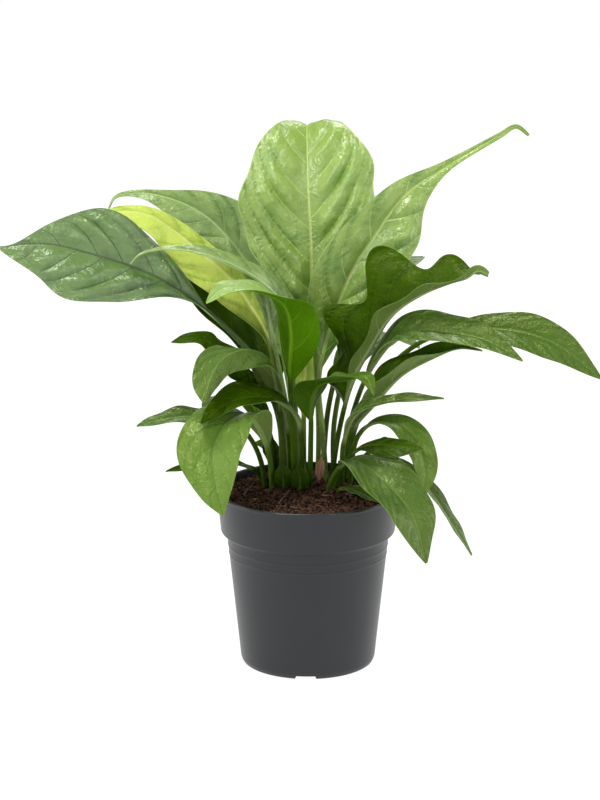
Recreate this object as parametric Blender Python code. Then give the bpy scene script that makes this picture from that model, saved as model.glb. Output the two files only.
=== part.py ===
"""A foliage anthurium in a round nursery pot: pot, soil, and each leaf grown in one piece with its stalk.

Z is up, the pot stands on z = 0 with its axis on the origin, and the plant is seen from -Y.
"""

import math

import bmesh
import bpy
import numpy as np

MM = 0.001

# Driving sizes of the pot, in millimetres
POT_HEIGHT = 185.5
RIM_RADIUS = 95.0
LIP_HEIGHT = 3.8
BAND_FOOT_HEIGHT = 141.0
STEP_HEIGHT = 137.5
BODY_TOP_RADIUS = 83.4
BODY_FOOT_RADIUS = 70.6
FOOT_RADIUS = 65.5
FOOT_RING_WIDTH = 7.0
WALL = 1.8
BASE_LIFT = 4.0
BASE_THICKNESS = 2.2
PAD_RADIUS = 12.0
RING_LINES = (117.5, 127.0)
RING_LINE_RISE = 0.5
POT_SIDES = 48
NOTCH_WIDTH = 24.0
NOTCH_HEIGHT = 4.0
NOTCH_BEARINGS = (-92.0, -2.0, 88.0, 178.0)
DRAIN_RADIUS = 5.0
DRAIN_CIRCLE = 42.0
DRAIN_COUNT = 8

# Driving sizes of the soil and of the leaves, in millimetres
CLEARANCE = 0.35
SOIL_EDGE_HEIGHT = 175.5
SOIL_CROWN_RISE = 5.5
SOIL_CROWN_SPREAD = 48.0
SOIL_LUMPS = 0.9
SOIL_CRUMBS = 0.5
BLADE_HALF_THICKNESS = 0.4
STALK_TAPER = 0.35
RIB_TAPER = 0.75
RIB_FADE = 0.10
BLADE_OPENING = 0.08
WAVE_LAG = 0.37
TAIL_START = 0.3
TAIL_BLUNTNESS = 0.3
TWIST_START = 0.82
TIP_END = 0.985
STALK_ROWS = 4
SLEEVE_TOP = 184.0
SLEEVE_SIDES = 8

# Colours as plain linear values
POT_COLOUR = (0.060, 0.064, 0.070)
SOIL_COLOUR = (0.045, 0.022, 0.012)
FRESH = (0.250, 0.430, 0.080)
MIDDLE = (0.110, 0.240, 0.050)
DARK = (0.045, 0.120, 0.025)
LIME = (0.420, 0.560, 0.070)
PAPER = (0.360, 0.190, 0.110)

# What a leaf has unless its own entry says otherwise. Angles are in degrees, lengths in millimetres.
# blade: share of the midrib where the blade begins. half: half width. widest: where along the blade.
# base, tip: how fast the width grows and closes. roll: turn of the upper face about the midrib, at
# the blade's base, middle and tip. lift: how far the halves fold up. curl: how far they bend on.
# wave: height, count and phase of the margin's waves. notch: the same, in the plane of the blade.
# tail: half width that a long tip keeps. twist: how far the tip turns over, beyond the roll.
# A pair is (left, right), seen from above with the tip pointing away.
USUAL = {
    "blade": 0.35,
    "half": (30, 30),
    "widest": (0.5, 0.5),
    "base": (1.0, 1.0),
    "tip": (0.9, 0.9),
    "roll": (0, 0, 0),
    "lift": ((20, 20), (10, 10), (5, 5)),
    "curl": ((0, 0), (0, 0), (0, 0)),
    "wave": (2, 3, 0),
    "notch": (0.02, 4, 0.15),
    "tail": 0,
    "twist": 0,
    "stalk": 2.8,
    "heading": None,
    "rows": 11,
    "columns": 4,
    "colour": MIDDLE,
}


def both(*values):
    """The same value on the left and on the right half, at each of the places given."""
    return tuple((value, value) for value in values)


# Each leaf's midrib, point by point from the soil to the tip, chosen by hand from the photograph.
LEAVES = {
    "leaf_tall": {
        "spine": [(10, 47, 168), (11, 46, 235), (8, 48, 302), (4, 56, 369), (3, 64, 430),
                  (0, 76, 487), (-1, 94, 524), (-1, 116, 540), (-1, 142, 532)],
        "blade": 0.33, "half": (71, 70), "widest": (0.56, 0.64), "base": (2.0, 2.0),
        "tip": (0.85, 0.8), "lift": ((20, 20), (5, 5), (30, 30)), "curl": ((0, 0), (0, 10), (-40, -40)),
        "wave": (3, 3.5, 0.1), "notch": (0.035, 5, 0.2), "heading": 90, "rows": 16, "columns": 6,
        "colour": FRESH,
    },
    "leaf_upright": {
        "spine": [(20, 40, 168), (15, 38, 235), (11, 37, 290), (18, 38, 326), (28, 40, 360),
                  (45, 40, 404), (69, 49, 440), (99, 63, 478), (142, 83, 504), (198, 103, 533),
                  (214, 108, 541), (230, 112, 529)],
        "blade": 0.26, "half": (38, 41), "widest": (0.30, 0.46), "tip": (4.0, 8.0), "tail": 6,
        "roll": (40, 80, 40), "twist": 70, "lift": both(25, 10, 10), "wave": (3, 4, 0.2),
        "heading": 20, "rows": 18, "columns": 6, "colour": FRESH,
    },
    "leaf_curled": {
        "spine": [(22, 31, 168), (32, 30, 238), (45, 20, 292), (64, 4, 334), (86, -10, 372),
                  (114, -26, 396), (142, -38, 411), (158, -46, 418), (170, -53, 427), (181, -61, 424)],
        "blade": 0.27, "half": (49, 11), "widest": (0.50, 0.60), "base": (0.75, 1.0), "tip": (1.3, 0.8),
        "tail": 11, "roll": (20, 30, 10), "twist": -95, "lift": ((60, 50), (55, 70), (10, 10)),
        "wave": (8, 4, 0.1), "notch": (0.38, 4, -0.15), "heading": -25, "rows": 20, "columns": 6,
        "colour": DARK,
    },
    "leaf_arch": {
        "spine": [(31, 42, 168), (42, 36, 238), (61, 18, 301), (89, -6, 345), (112, -20, 357),
                  (136, -33, 359), (177, -53, 356), (216, -72, 338)],
        "blade": 0.36, "half": (22, 20), "roll": (20, 35, 30), "lift": both(35, 20, 10),
        "rows": 13, "columns": 6,
    },
    "leaf_far_right": {
        "spine": [(36, 49, 168), (48, 50, 232), (74, 46, 289), (125, 36, 335), (197, 20, 348),
                  (249, 5, 338), (300, -12, 303)],
        "blade": 0.50, "half": (21, 24), "widest": (0.52, 0.52), "base": (1.1, 1.1),
        "roll": (20, 45, 45), "lift": both(20, 15, 5), "wave": (2, 2, 0), "rows": 14, "columns": 6,
    },
    "leaf_right_low": {
        "spine": [(31, 32, 168), (45, 24, 238), (69, 11, 273), (95, 0, 305), (126, -8, 325),
                  (153, -14, 337), (178, -20, 336)],
        "blade": 0.28, "half": (20, 20), "widest": (0.42, 0.42), "base": (0.9, 0.9), "tip": (1.0, 1.0),
        "roll": (20, 20, 20), "lift": ((60, 50), (50, 55), (10, 10)), "wave": (3, 3, 0), "rows": 13,
    },
    "leaf_strap": {
        "spine": [(34, 24, 168), (38, 7, 240), (53, -12, 271), (94, -21, 285), (139, -27, 288)],
        "blade": 0.30, "half": (10, 12), "tip": (0.8, 0.8), "roll": (20, 20, 20),
        "lift": both(30, 20, 10), "wave": (1, 3, 0),
    },
    "leaf_low_arch": {
        "spine": [(42, 33, 168), (51, 23, 233), (69, 12, 252), (92, 1, 252), (112, -11, 235),
                  (120, -22, 207), (116, -30, 180)],
        "blade": 0.36, "half": (17, 16), "widest": (0.55, 0.55), "base": (1.1, 1.1),
        "roll": (20, 20, 20), "wave": (1, 3, 0), "rows": 13,
    },
    "leaf_dark_right": {
        "spine": [(24, 20, 168), (36, 7, 206), (50, -1, 226), (69, -12, 234), (93, -28, 237),
                  (118, -43, 239)],
        "blade": 0.40, "half": (10, 20), "widest": (0.6, 0.6), "base": (1.1, 1.1),
        "roll": (20, 30, 20), "wave": (1, 3, 0), "colour": DARK,
    },
    "leaf_droop_right": {
        "spine": [(17, 12, 168), (28, -6, 202), (42, -28, 222), (66, -62, 221), (97, -91, 196),
                  (107, -100, 180), (119, -108, 137)],
        "blade": 0.22, "half": (34, 36), "lift": both(15, 10, 5), "rows": 14, "columns": 6,
    },
    "leaf_right_back": {
        "spine": [(46, 44, 168), (60, 36, 204), (88, 18, 213), (118, -1, 192), (144, -26, 160),
                  (168, -46, 126)],
        "half": (18, 18), "widest": (0.55, 0.55), "base": (1.1, 1.1), "roll": (0, -20, -20),
        "lift": both(15, 10, 5), "wave": (1, 3, 0),
    },
    "leaf_soil_right": {
        "spine": [(27, 6, 168), (34, -2, 185), (50, -18, 187), (72, -38, 181)],
        "blade": 0.25, "half": (12, 12), "base": (1.1, 1.1), "tip": (0.8, 0.8),
        "lift": both(15, 10, 5), "wave": (1, 3, 0), "colour": DARK,
    },
    "leaf_droop_left": {
        "spine": [(-36, 14, 168), (-40, 6, 218), (-49, -10, 250), (-63, -30, 272), (-84, -55, 270),
                  (-96, -78, 248), (-92, -98, 212), (-85, -106, 187)],
        "blade": 0.22, "half": (35, 37), "widest": (0.6, 0.6), "lift": both(25, 10, 5),
        "rows": 15, "columns": 6, "colour": FRESH,
    },
    "leaf_flat_left": {
        "spine": [(-42, 24, 168), (-50, 18, 214), (-66, 3, 246), (-88, -14, 263), (-119, -30, 270),
                  (-149, -43, 270), (-174, -54, 266)],
        "half": (13, 14), "widest": (0.6, 0.6), "roll": (-20, -20, -20), "lift": both(15, 10, 5),
    },
    "leaf_dark_left": {
        "spine": [(-10, 14, 168), (-6, 4, 229), (-14, -16, 270), (-40, -33, 290), (-74, -50, 292),
                  (-109, -68, 272)],
        "half": (14, 22), "widest": (0.6, 0.6), "roll": (-10, -20, -20), "lift": both(15, 10, 5),
        "rows": 13, "colour": DARK,
    },
    "leaf_nodding": {
        "spine": [(-25, 22, 168), (-27, 15, 233), (-31, 0, 285), (-41, -22, 330), (-64, -44, 344),
                  (-86, -61, 338), (-98, -76, 320), (-104, -90, 300)],
        "blade": 0.34, "half": (20, 34), "widest": (0.66, 0.66), "base": (0.9, 0.9), "tip": (0.8, 0.8),
        "roll": (0, 0, -10), "lift": ((20, 10), (-60, -10), (-70, 0)), "rows": 15, "columns": 6,
    },
    "leaf_crinkled": {
        "spine": [(-33, 30, 168), (-40, 26, 240), (-61, 8, 289), (-88, -6, 330), (-114, -20, 349),
                  (-139, -33, 348)],
        "blade": 0.25, "half": (20, 17), "base": (0.9, 1.2), "roll": (-50, -50, -30),
        "lift": both(25, 15, 5), "wave": (4, 5, 0), "notch": (0.06, 5, 0.3), "rows": 15, "colour": DARK,
    },
    "leaf_far_left": {
        "spine": [(-24, 31, 168), (-28, 28, 249), (-45, 22, 304), (-66, 14, 333), (-100, 0, 371),
                  (-127, -12, 396), (-167, -25, 421), (-212, -40, 440), (-259, -55, 455),
                  (-309, -68, 455)],
        "blade": 0.45, "half": (52, 46), "widest": (0.66, 0.61), "base": (2.2, 2.0), "tip": (0.9, 2.4),
        "roll": (-40, -70, -60), "wave": (4, 3, 0.3), "notch": (0.04, 3, 0.1), "rows": 16, "columns": 6,
    },
    "leaf_behind_left": {
        "spine": [(-27, 40, 168), (-30, 40, 246), (-50, 36, 300), (-80, 28, 345), (-109, 20, 375),
                  (-125, 13, 396), (-148, 5, 422), (-172, -3, 435)],
        "blade": 0.30, "half": (12, 28), "widest": (0.45, 0.45), "base": (0.9, 0.9), "tip": (1.1, 1.1),
        "roll": (-40, -50, -40), "lift": both(25, 15, 5), "rows": 13, "colour": DARK,
    },
    "leaf_lime": {
        "spine": [(-18, 40, 168), (-22, 38, 236), (-32, 33, 291), (-43, 28, 340), (-78, 27, 398),
                  (-107, 24, 426), (-134, 19, 450), (-161, 5, 471), (-189, 0, 476), (-215, -6, 471)],
        "blade": 0.38, "half": (33, 11), "widest": (0.45, 0.45), "tail": 9, "roll": (-50, -70, -30),
        "lift": both(25, 15, 5), "rows": 15, "columns": 6, "colour": LIME,
    },
    "leaf_upper_left": {
        "spine": [(-12, 50, 168), (-20, 54, 243), (-34, 64, 316), (-47, 79, 376), (-69, 86, 411),
                  (-103, 89, 449), (-135, 89, 467), (-170, 89, 475), (-198, 93, 470), (-207, 94, 455)],
        "blade": 0.36, "half": (39, 52), "widest": (0.45, 0.36), "base": (1.0, 1.8), "tip": (2.4, 4.0),
        "tail": 6,
        "roll": (-75, -80, -25), "lift": both(25, 15, 5), "wave": (3, 3, 0.4), "rows": 16, "columns": 6,
    },
    "leaf_edge_on": {
        "spine": [(-8, 32, 168), (-12, 32, 247), (-19, 28, 322), (-28, 19, 377), (-47, 10, 400),
                  (-75, 0, 420), (-110, -15, 437), (-146, -30, 444), (-169, -38, 440), (-180, -42, 430)],
        "blade": 0.40, "half": (14, 16), "widest": (0.35, 0.35), "tip": (1.3, 1.3),
        "roll": (-45, -25, 0), "lift": both(25, 15, 5), "wave": (1, 3, 0), "rows": 15,
    },
    "leaf_folding": {
        "spine": [(-14, 24, 168), (-16, 12, 243), (-18, -4, 311), (-17, -18, 357), (-25, -34, 389),
                  (-53, -58, 408), (-83, -80, 416), (-102, -98, 404)],
        "blade": 0.38, "half": (32, 28), "widest": (0.35, 0.35), "roll": (0, -10, -20),
        "lift": both(25, 15, 5), "rows": 15, "columns": 6, "colour": FRESH,
    },
    "leaf_crumpled": {
        "spine": [(-17.5, 32.5, 168), (-19, 28, 215), (-24, 20, 255), (-34, 10, 282), (-45, 3, 304),
                  (-57, -2, 322), (-64, -4, 330)],
        "blade": 0.38, "half": (14, 13), "widest": (0.6, 0.6), "base": (0.8, 0.8), "tip": (0.6, 0.6),
        "roll": (40, 60, 40), "lift": both(40, 40, 30), "wave": (2, 5, 0), "stalk": 2.2, "rows": 12,
    },
    "leaf_centre": {
        "spine": [(2, 13, 168), (3, -8, 249), (4, -20, 284), (12, -32, 304), (35, -48, 313),
                  (58, -60, 318), (66, -66, 301)],
        "blade": 0.42, "half": (24, 24), "widest": (0.4, 0.4), "lift": both(25, 15, 5),
        "rows": 14, "colour": DARK,
    },
    "leaf_low_left": {
        "spine": [(-44, 36, 168), (-50, 32, 190), (-68, 19, 205), (-95, 2, 212), (-146, -18, 208)],
        "blade": 0.25, "half": (10, 10), "roll": (-10, -20, -20), "lift": both(15, 10, 5),
        "wave": (1, 3, 0), "colour": DARK,
    },
    "leaf_grey_back": {
        "spine": [(-33, 50, 168), (-35, 52, 198), (-42, 56, 215), (-57, 62, 215)],
        "blade": 0.30, "half": (9, 9), "roll": (-40, -50, -20), "lift": both(15, 10, 5),
        "wave": (1, 3, 0), "colour": DARK,
    },
    "leaf_back_high": {
        "spine": [(-4, 62, 168), (-4, 76, 260), (0, 112, 333), (2, 162, 354), (2, 214, 336)],
        "blade": 0.25, "half": (31, 26), "widest": (0.55, 0.55), "rows": 13, "colour": LIME,
    },
    "leaf_back_left": {
        "spine": [(-22, 60, 168), (-28, 72, 250), (-48, 105, 320), (-76, 155, 348), (-100, 205, 326)],
        "half": (34, 34), "rows": 13,
    },
    "leaf_back_right": {
        "spine": [(27, 58, 168), (28, 70, 240), (44, 100, 290), (84, 150, 306), (120, 196, 282)],
        "half": (28, 28), "rows": 13,
    },
    "leaf_back_low_left": {
        "spine": [(-36, 60, 168), (-44, 70, 222), (-66, 90, 256), (-96, 112, 250), (-112, 125, 222)],
        "blade": 0.30, "half": (20, 20), "colour": DARK,
    },
    "leaf_back_low_right": {
        "spine": [(44, 56, 168), (56, 70, 194), (82, 95, 204), (108, 120, 190), (120, 136, 164)],
        "blade": 0.30, "half": (17, 17), "colour": DARK,
    },
    "leaf_back_upper_left": {
        "spine": [(-12, 62, 168), (-18, 74, 260), (-40, 100, 360), (-62, 134, 418), (-90, 184, 432)],
        "blade": 0.40, "half": (34, 34), "rows": 13,
    },
    "leaf_back_upper_right": {
        "spine": [(14, 60, 168), (24, 80, 262), (56, 106, 350), (94, 148, 386), (124, 190, 384)],
        "blade": 0.42, "half": (32, 32), "rows": 13,
    },
    "sheath_left": {
        "spine": [(-26, 11, 168), (-25, 4, 190), (-27, 3, 209)],
        "blade": 0.40, "half": (9, 10), "base": (0.3, 0.3), "tip": (0.6, 0.6), "lift": both(20, 20, 20),
        "curl": both(-20, -20, -20), "wave": (0, 3, 0), "stalk": 1.6, "heading": 90, "rows": 7,
        "colour": DARK,
    },
    "sheath_right": {
        "spine": [(-11, 5, 168), (-8, 0, 190), (-10, -1, 207)],
        "blade": 0.40, "half": (9, 10), "base": (0.3, 0.3), "tip": (0.45, 0.45), "lift": both(20, 20, 20),
        "curl": both(-20, -20, -20), "wave": (0, 3, 0), "stalk": 2.0, "heading": 90, "rows": 7,
        "colour": DARK,
    },
    "sheath_papery": {
        "spine": [(11, 32, 168), (12, 29, 190), (14, 27, 210)],
        "blade": 0.40, "half": (5, 5), "base": (0.5, 0.5), "tip": (0.9, 0.9), "lift": both(30, 30, 20),
        "wave": (0, 3, 0), "stalk": 1.5, "heading": 90, "rows": 7, "colour": PAPER,
    },
}


def clear_scene():
    for item in list(bpy.data.objects):
        bpy.data.objects.remove(item, do_unlink=True)


def principled(name, colour, roughness):
    """A plain opaque surface, one for each object."""
    material = bpy.data.materials.new(name)
    material.use_nodes = True
    shader = material.node_tree.nodes["Principled BSDF"]
    shader.inputs["Base Color"].default_value = (*colour, 1.0)
    shader.inputs["Roughness"].default_value = roughness
    shader.inputs["Metallic"].default_value = 0.0
    return material


def add_object(name, bm, material, smooth_angle=40.0):
    """Turns the mesh, built in millimetres, into an object in metres."""
    bmesh.ops.scale(bm, vec=(MM, MM, MM), verts=bm.verts[:])
    mesh = bpy.data.meshes.new(name)
    bm.to_mesh(mesh)
    bm.free()
    mesh.shade_smooth()
    mesh.set_sharp_from_angle(angle=math.radians(smooth_angle))
    item = bpy.data.objects.new(name, mesh)
    bpy.context.scene.collection.objects.link(item)
    if material is not None:
        mesh.materials.append(material)
    return item


def as_cutter(item):
    item.hide_render = True
    item.display_type = "WIRE"
    return item


# Turned pieces

def turned(profile, sides):
    """A closed solid turned about Z from points (radius, height) that start and end on the axis."""
    bm = bmesh.new()
    verts = [bm.verts.new((radius, 0.0, height)) for radius, height in profile]
    edges = [bm.edges.new(pair) for pair in zip(verts, verts[1:])]
    bmesh.ops.spin(
        bm,
        geom=verts + edges,
        cent=(0, 0, 0),
        axis=(0, 0, 1),
        angle=2 * math.pi,
        steps=sides,
        use_duplicate=False,
    )
    bmesh.ops.remove_doubles(bm, verts=bm.verts[:], dist=0.01)
    bmesh.ops.recalc_face_normals(bm, faces=bm.faces[:])
    return bm


def body_radius(height):
    """The pot's tapered body, outside."""
    share = (height - 18.0) / (STEP_HEIGHT - 18.0)
    return BODY_FOOT_RADIUS + (BODY_TOP_RADIUS - BODY_FOOT_RADIUS) * share


def band_radius(height):
    """The wide band under the lip, outside."""
    share = (height - BAND_FOOT_HEIGHT) / (POT_HEIGHT - BAND_FOOT_HEIGHT)
    return (RIM_RADIUS - 5.4) + 4.4 * share


def pot_profile():
    lip_foot = POT_HEIGHT - LIP_HEIGHT
    outer = [
        (0.0, 0.0),
        (PAD_RADIUS, 0.0),
        (PAD_RADIUS + 0.8, BASE_LIFT),
        (FOOT_RADIUS - FOOT_RING_WIDTH, BASE_LIFT),
        (FOOT_RADIUS - FOOT_RING_WIDTH + 0.6, 0.0),
        (FOOT_RADIUS, 0.0),
        (FOOT_RADIUS + 2.1, 1.4),
        (FOOT_RADIUS + 3.9, 6.0),
        (BODY_FOOT_RADIUS, 18.0),
    ]
    for line in RING_LINES:
        outer += [
            (body_radius(line - 1.2), line - 1.2),
            (body_radius(line) + RING_LINE_RISE, line),
            (body_radius(line + 1.2), line + 1.2),
        ]
    outer += [
        (BODY_TOP_RADIUS, STEP_HEIGHT),
        (BODY_TOP_RADIUS + 1.2, STEP_HEIGHT + 1.6),
        (band_radius(BAND_FOOT_HEIGHT) - 1.8, STEP_HEIGHT + 2.2),
        (band_radius(BAND_FOOT_HEIGHT), BAND_FOOT_HEIGHT + 0.6),
        (band_radius(lip_foot), lip_foot),
        (RIM_RADIUS - 0.1, lip_foot + 0.7),
        (RIM_RADIUS, POT_HEIGHT - 1.0),
        (RIM_RADIUS - 0.9, POT_HEIGHT),
    ]
    inner = [
        (RIM_RADIUS - 2.6, POT_HEIGHT),
        (band_radius(lip_foot) - WALL, lip_foot - 1.0),
        (band_radius(BAND_FOOT_HEIGHT) - WALL, BAND_FOOT_HEIGHT + 2.0),
        (BODY_TOP_RADIUS - WALL, STEP_HEIGHT - 1.0),
        (BODY_FOOT_RADIUS - WALL, 18.0),
        (FOOT_RADIUS - 0.4, BASE_LIFT + BASE_THICKNESS),
        (0.0, BASE_LIFT + BASE_THICKNESS),
    ]
    return outer + inner


def notch_cutter(bearing):
    """A wedge, wider at the foot than at its top, through the foot ring."""
    bm = bmesh.new()
    bmesh.ops.create_cube(bm, size=1.0)
    for vert in bm.verts:
        high = vert.co.z > 0
        width = NOTCH_WIDTH - (4.6 if high else 0.0)
        vert.co.x = math.copysign(8.0, vert.co.x) + FOOT_RADIUS - 2.0
        vert.co.y = math.copysign(width / 2, vert.co.y)
        vert.co.z = NOTCH_HEIGHT if high else -2.0
    item = as_cutter(add_object("notch_cutter", bm, None))
    item.rotation_euler.z = math.radians(bearing)
    return item


def drain_cutter(index):
    bm = bmesh.new()
    bmesh.ops.create_cone(
        bm,
        cap_ends=True,
        segments=12,
        radius1=DRAIN_RADIUS,
        radius2=DRAIN_RADIUS,
        depth=20.0,
    )
    item = as_cutter(add_object("drain_cutter", bm, None))
    angle = 2 * math.pi * (index + 0.5) / DRAIN_COUNT
    item.location = (
        DRAIN_CIRCLE * MM * math.cos(angle),
        DRAIN_CIRCLE * MM * math.sin(angle),
        BASE_LIFT * MM,
    )
    return item


def cut(item, cutters):
    """Takes all the cutters from the object in one Boolean, and removes them."""
    group = bpy.data.collections.new(item.name + "_cutters")
    for cutter in cutters:
        group.objects.link(cutter)
    modifier = item.modifiers.new("cut", "BOOLEAN")
    modifier.operation = "DIFFERENCE"
    modifier.operand_type = "COLLECTION"
    modifier.collection = group
    modifier.solver = "EXACT"
    bpy.context.view_layer.update()
    graph = bpy.context.evaluated_depsgraph_get()
    whole = bpy.data.meshes.new_from_object(item.evaluated_get(graph))
    item.modifiers.remove(modifier)
    material = item.data.materials[0]
    item.data = whole
    item.data.materials.clear()
    item.data.materials.append(material)
    for cutter in cutters:
        bpy.data.objects.remove(cutter, do_unlink=True)
    bpy.data.collections.remove(group)


def make_pot():
    bm = turned(pot_profile(), POT_SIDES)
    pot = add_object("pot", bm, principled("anthracite_plastic", POT_COLOUR, 0.45))
    cutters = [notch_cutter(bearing) for bearing in NOTCH_BEARINGS]
    cutters += [drain_cutter(index) for index in range(DRAIN_COUNT)]
    cut(pot, cutters)
    return pot


# Leaves

def unit(rows):
    return rows / np.linalg.norm(rows, axis=1)[:, None]


def three_points(values, share):
    """A smooth run through three values, at the start, the middle and the end."""
    first, middle, last = values
    return (
        first * (1 - share) * (1 - 2 * share)
        + middle * 4 * share * (1 - share)
        + last * share * (2 * share - 1)
    )


def smooth_path(points, count=400):
    """A centripetal Catmull-Rom curve through the points, at even steps of length."""
    given = np.array(points, float)
    ends = np.vstack([2 * given[0] - given[1], given, 2 * given[-1] - given[-2]])
    gaps = np.sqrt(np.linalg.norm(np.diff(ends, axis=0), axis=1))
    knots = np.concatenate([[0.0], np.cumsum(gaps)])
    stretches = []
    for index in range(1, len(ends) - 2):
        k0, k1, k2, k3 = knots[index - 1:index + 3]
        p0, p1, p2, p3 = ends[index - 1:index + 3]
        k = np.linspace(k1, k2, 24, endpoint=False)[:, None]
        a1 = (k1 - k) / (k1 - k0) * p0 + (k - k0) / (k1 - k0) * p1
        a2 = (k2 - k) / (k2 - k1) * p1 + (k - k1) / (k2 - k1) * p2
        a3 = (k3 - k) / (k3 - k2) * p2 + (k - k2) / (k3 - k2) * p3
        b1 = (k2 - k) / (k2 - k0) * a1 + (k - k0) / (k2 - k0) * a2
        b2 = (k3 - k) / (k3 - k1) * a2 + (k - k1) / (k3 - k1) * a3
        stretches.append((k2 - k) / (k2 - k1) * b1 + (k - k1) / (k2 - k1) * b2)
    path = np.vstack(stretches + [given[-1:]])
    run = np.concatenate([[0.0], np.cumsum(np.linalg.norm(np.diff(path, axis=0), axis=1))])
    even = np.linspace(0.0, run[-1], count)
    return np.stack([np.interp(even, run, path[:, axis]) for axis in range(3)], axis=1)


class Leaf:
    """The surface of one leaf. Along runs from the soil, 0, to the tip, 1; across from -1 to 1."""

    def __init__(self, shape):
        self.shape = {**USUAL, **shape}
        self.path = smooth_path(self.shape["spine"])
        self.steps = np.linspace(0.0, 1.0, len(self.path))
        tangent = unit(np.gradient(self.path, axis=0))
        reach = self.path[-1] - self.path[0]
        heading = self.shape["heading"]
        angle = math.atan2(reach[1], reach[0]) if heading is None else math.radians(heading)
        level = np.array([math.sin(angle), -math.cos(angle), 0.0])
        side = unit(level - tangent * (tangent @ level)[:, None])
        face = np.cross(side, tangent)
        share = self.blade_share(self.steps)
        late = np.clip((share - TWIST_START) / (1 - TWIST_START), 0, 1)
        turn = three_points(self.shape["roll"], share) + self.shape["twist"] * late ** 2 * (3 - 2 * late)
        roll = np.radians(turn)[:, None]
        self.side = side * np.cos(roll) - face * np.sin(roll)
        self.face = face * np.cos(roll) + side * np.sin(roll)

    def blade_share(self, along):
        start = self.shape["blade"]
        return np.clip((along - start) / (1 - start), 0.0, 1.0)

    def stalk_radius(self, along):
        share = self.blade_share(along)
        return self.shape["stalk"] * (1 - STALK_TAPER * along) * (1 - RIB_TAPER * share)

    def half_width(self, along, right):
        share = self.blade_share(along)
        widest = self.shape["widest"][right]
        rising = np.sin(np.pi / 2 * np.clip(share / widest, 0, 1)) ** self.shape["base"][right]
        closing = np.clip((share - widest) / (1 - widest), 0, 1)
        falling = np.cos(np.pi / 2 * closing) ** self.shape["tip"][right]
        width = self.shape["half"][right] * np.where(share < widest, rising, falling)
        depth, count, phase = self.shape["notch"]
        width = width * (1 + depth * np.sin(2 * np.pi * (count * share + phase + WAVE_LAG * right)))
        tail = self.shape["tail"] * np.clip(share / TAIL_START, 0, 1) * (1 - share) ** TAIL_BLUNTNESS
        return np.maximum(np.hypot(width, tail), self.stalk_radius(along))

    def sided(self, key, share, across):
        """An angle that differs from base to tip and from the left half to the right one."""
        stations = self.shape[key]
        left = three_points([pair[0] for pair in stations], share)
        right = three_points([pair[1] for pair in stations], share)
        return np.radians(np.where(across > 0, right, left))

    def middle(self, along, across):
        """Points of the surface halfway through the blade's thickness."""
        def at(rows):
            return np.stack([np.interp(along, self.steps, rows[:, axis]) for axis in range(3)], axis=-1)

        share = self.blade_share(along)
        width = np.where(across > 0, self.half_width(along, 1), self.half_width(along, 0))
        far = np.abs(across)
        opened = np.clip(share / BLADE_OPENING, 0, 1)
        lift = self.sided("lift", share, across) * opened
        curl = self.sided("curl", share, across) * opened
        bend = curl * far
        straight = np.abs(bend) < 1e-4
        divisor = np.where(straight, 1.0, curl)
        out = np.where(straight, far * np.cos(lift), (np.sin(lift + bend) - np.sin(lift)) / divisor)
        up = np.where(straight, far * np.sin(lift), (np.cos(lift) - np.cos(lift + bend)) / divisor)
        height, count, phase = self.shape["wave"]
        fullness = np.minimum(width / max(self.shape["half"]), 1) * opened
        turn = 2 * np.pi * (count * share + phase + np.where(across > 0, WAVE_LAG, 0.0))
        ripple = height * far ** 2 * np.sin(turn) * fullness
        sideways = np.sign(across) * width * out
        outwards = width * up + ripple
        return at(self.path) + at(self.side) * sideways[:, None] + at(self.face) * outwards[:, None]

    def skins(self, along, across):
        """Points on the upper and on the lower skin."""
        middle = self.middle(along, across)
        rightward = unit(self.middle(along, across + 0.01) - middle)
        from_left = unit(middle - self.middle(along, across - 0.01))
        tipward = self.middle(along + 0.003, across) - self.middle(along - 0.003, across)
        normal = unit(np.cross(rightward + from_left, tipward))
        width = np.where(across > 0, self.half_width(along, 1), self.half_width(along, 0))
        radius = self.stalk_radius(along)
        rib = radius * np.sqrt(np.clip(1 - (np.abs(across) * width / radius) ** 2, 0, 1))
        closed = 1 - np.clip(self.blade_share(along) / RIB_FADE, 0, 1)
        upper = middle + normal * (BLADE_HALF_THICKNESS + rib * closed)[:, None]
        lower = middle - normal * (BLADE_HALF_THICKNESS + rib)[:, None]
        return upper, lower


def leaf_along(height, blade, rows):
    """The place along a leaf of a grid row, from 0 to 1: few rows up the stalk, more on the blade."""
    stalk = STALK_ROWS / rows
    on_stalk = blade * height / stalk
    on_blade = blade + (TIP_END - blade) * (height - stalk) / (1 - stalk)
    return np.where(height < stalk, on_stalk, on_blade)


def make_leaf(name, shape):
    """One closed solid: a grid bent into the blade and its stalk, thick in the midrib."""
    leaf = Leaf(shape)
    rows = leaf.shape["rows"]
    bm = bmesh.new()
    bmesh.ops.create_grid(bm, x_segments=leaf.shape["columns"], y_segments=rows, size=1.0)
    bmesh.ops.triangulate(bm, faces=bm.faces[:], quad_method="FIXED")
    bm.verts.ensure_lookup_table()
    upper_verts = bm.verts[:]
    across = np.array([vert.co.x for vert in upper_verts])
    height = np.array([(vert.co.y + 1) / 2 for vert in upper_verts])
    upper, lower = leaf.skins(leaf_along(height, leaf.shape["blade"], rows), across)
    lower_at = {tuple(vert.co): point for vert, point in zip(upper_verts, lower)}
    grown = bmesh.ops.extrude_face_region(bm, geom=bm.faces[:], use_keep_orig=True)
    for vert in grown["geom"]:
        if isinstance(vert, bmesh.types.BMVert):
            vert.co = lower_at[tuple(vert.co)]
    for vert, point in zip(upper_verts, upper):
        vert.co = point
    bmesh.ops.recalc_face_normals(bm, faces=bm.faces[:])
    if bm.calc_volume(signed=True) < 0:
        bmesh.ops.reverse_faces(bm, faces=bm.faces[:])
    return add_object(name, bm, principled(name + "_surface", leaf.shape["colour"], 0.4), 60.0)


# Soil

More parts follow.
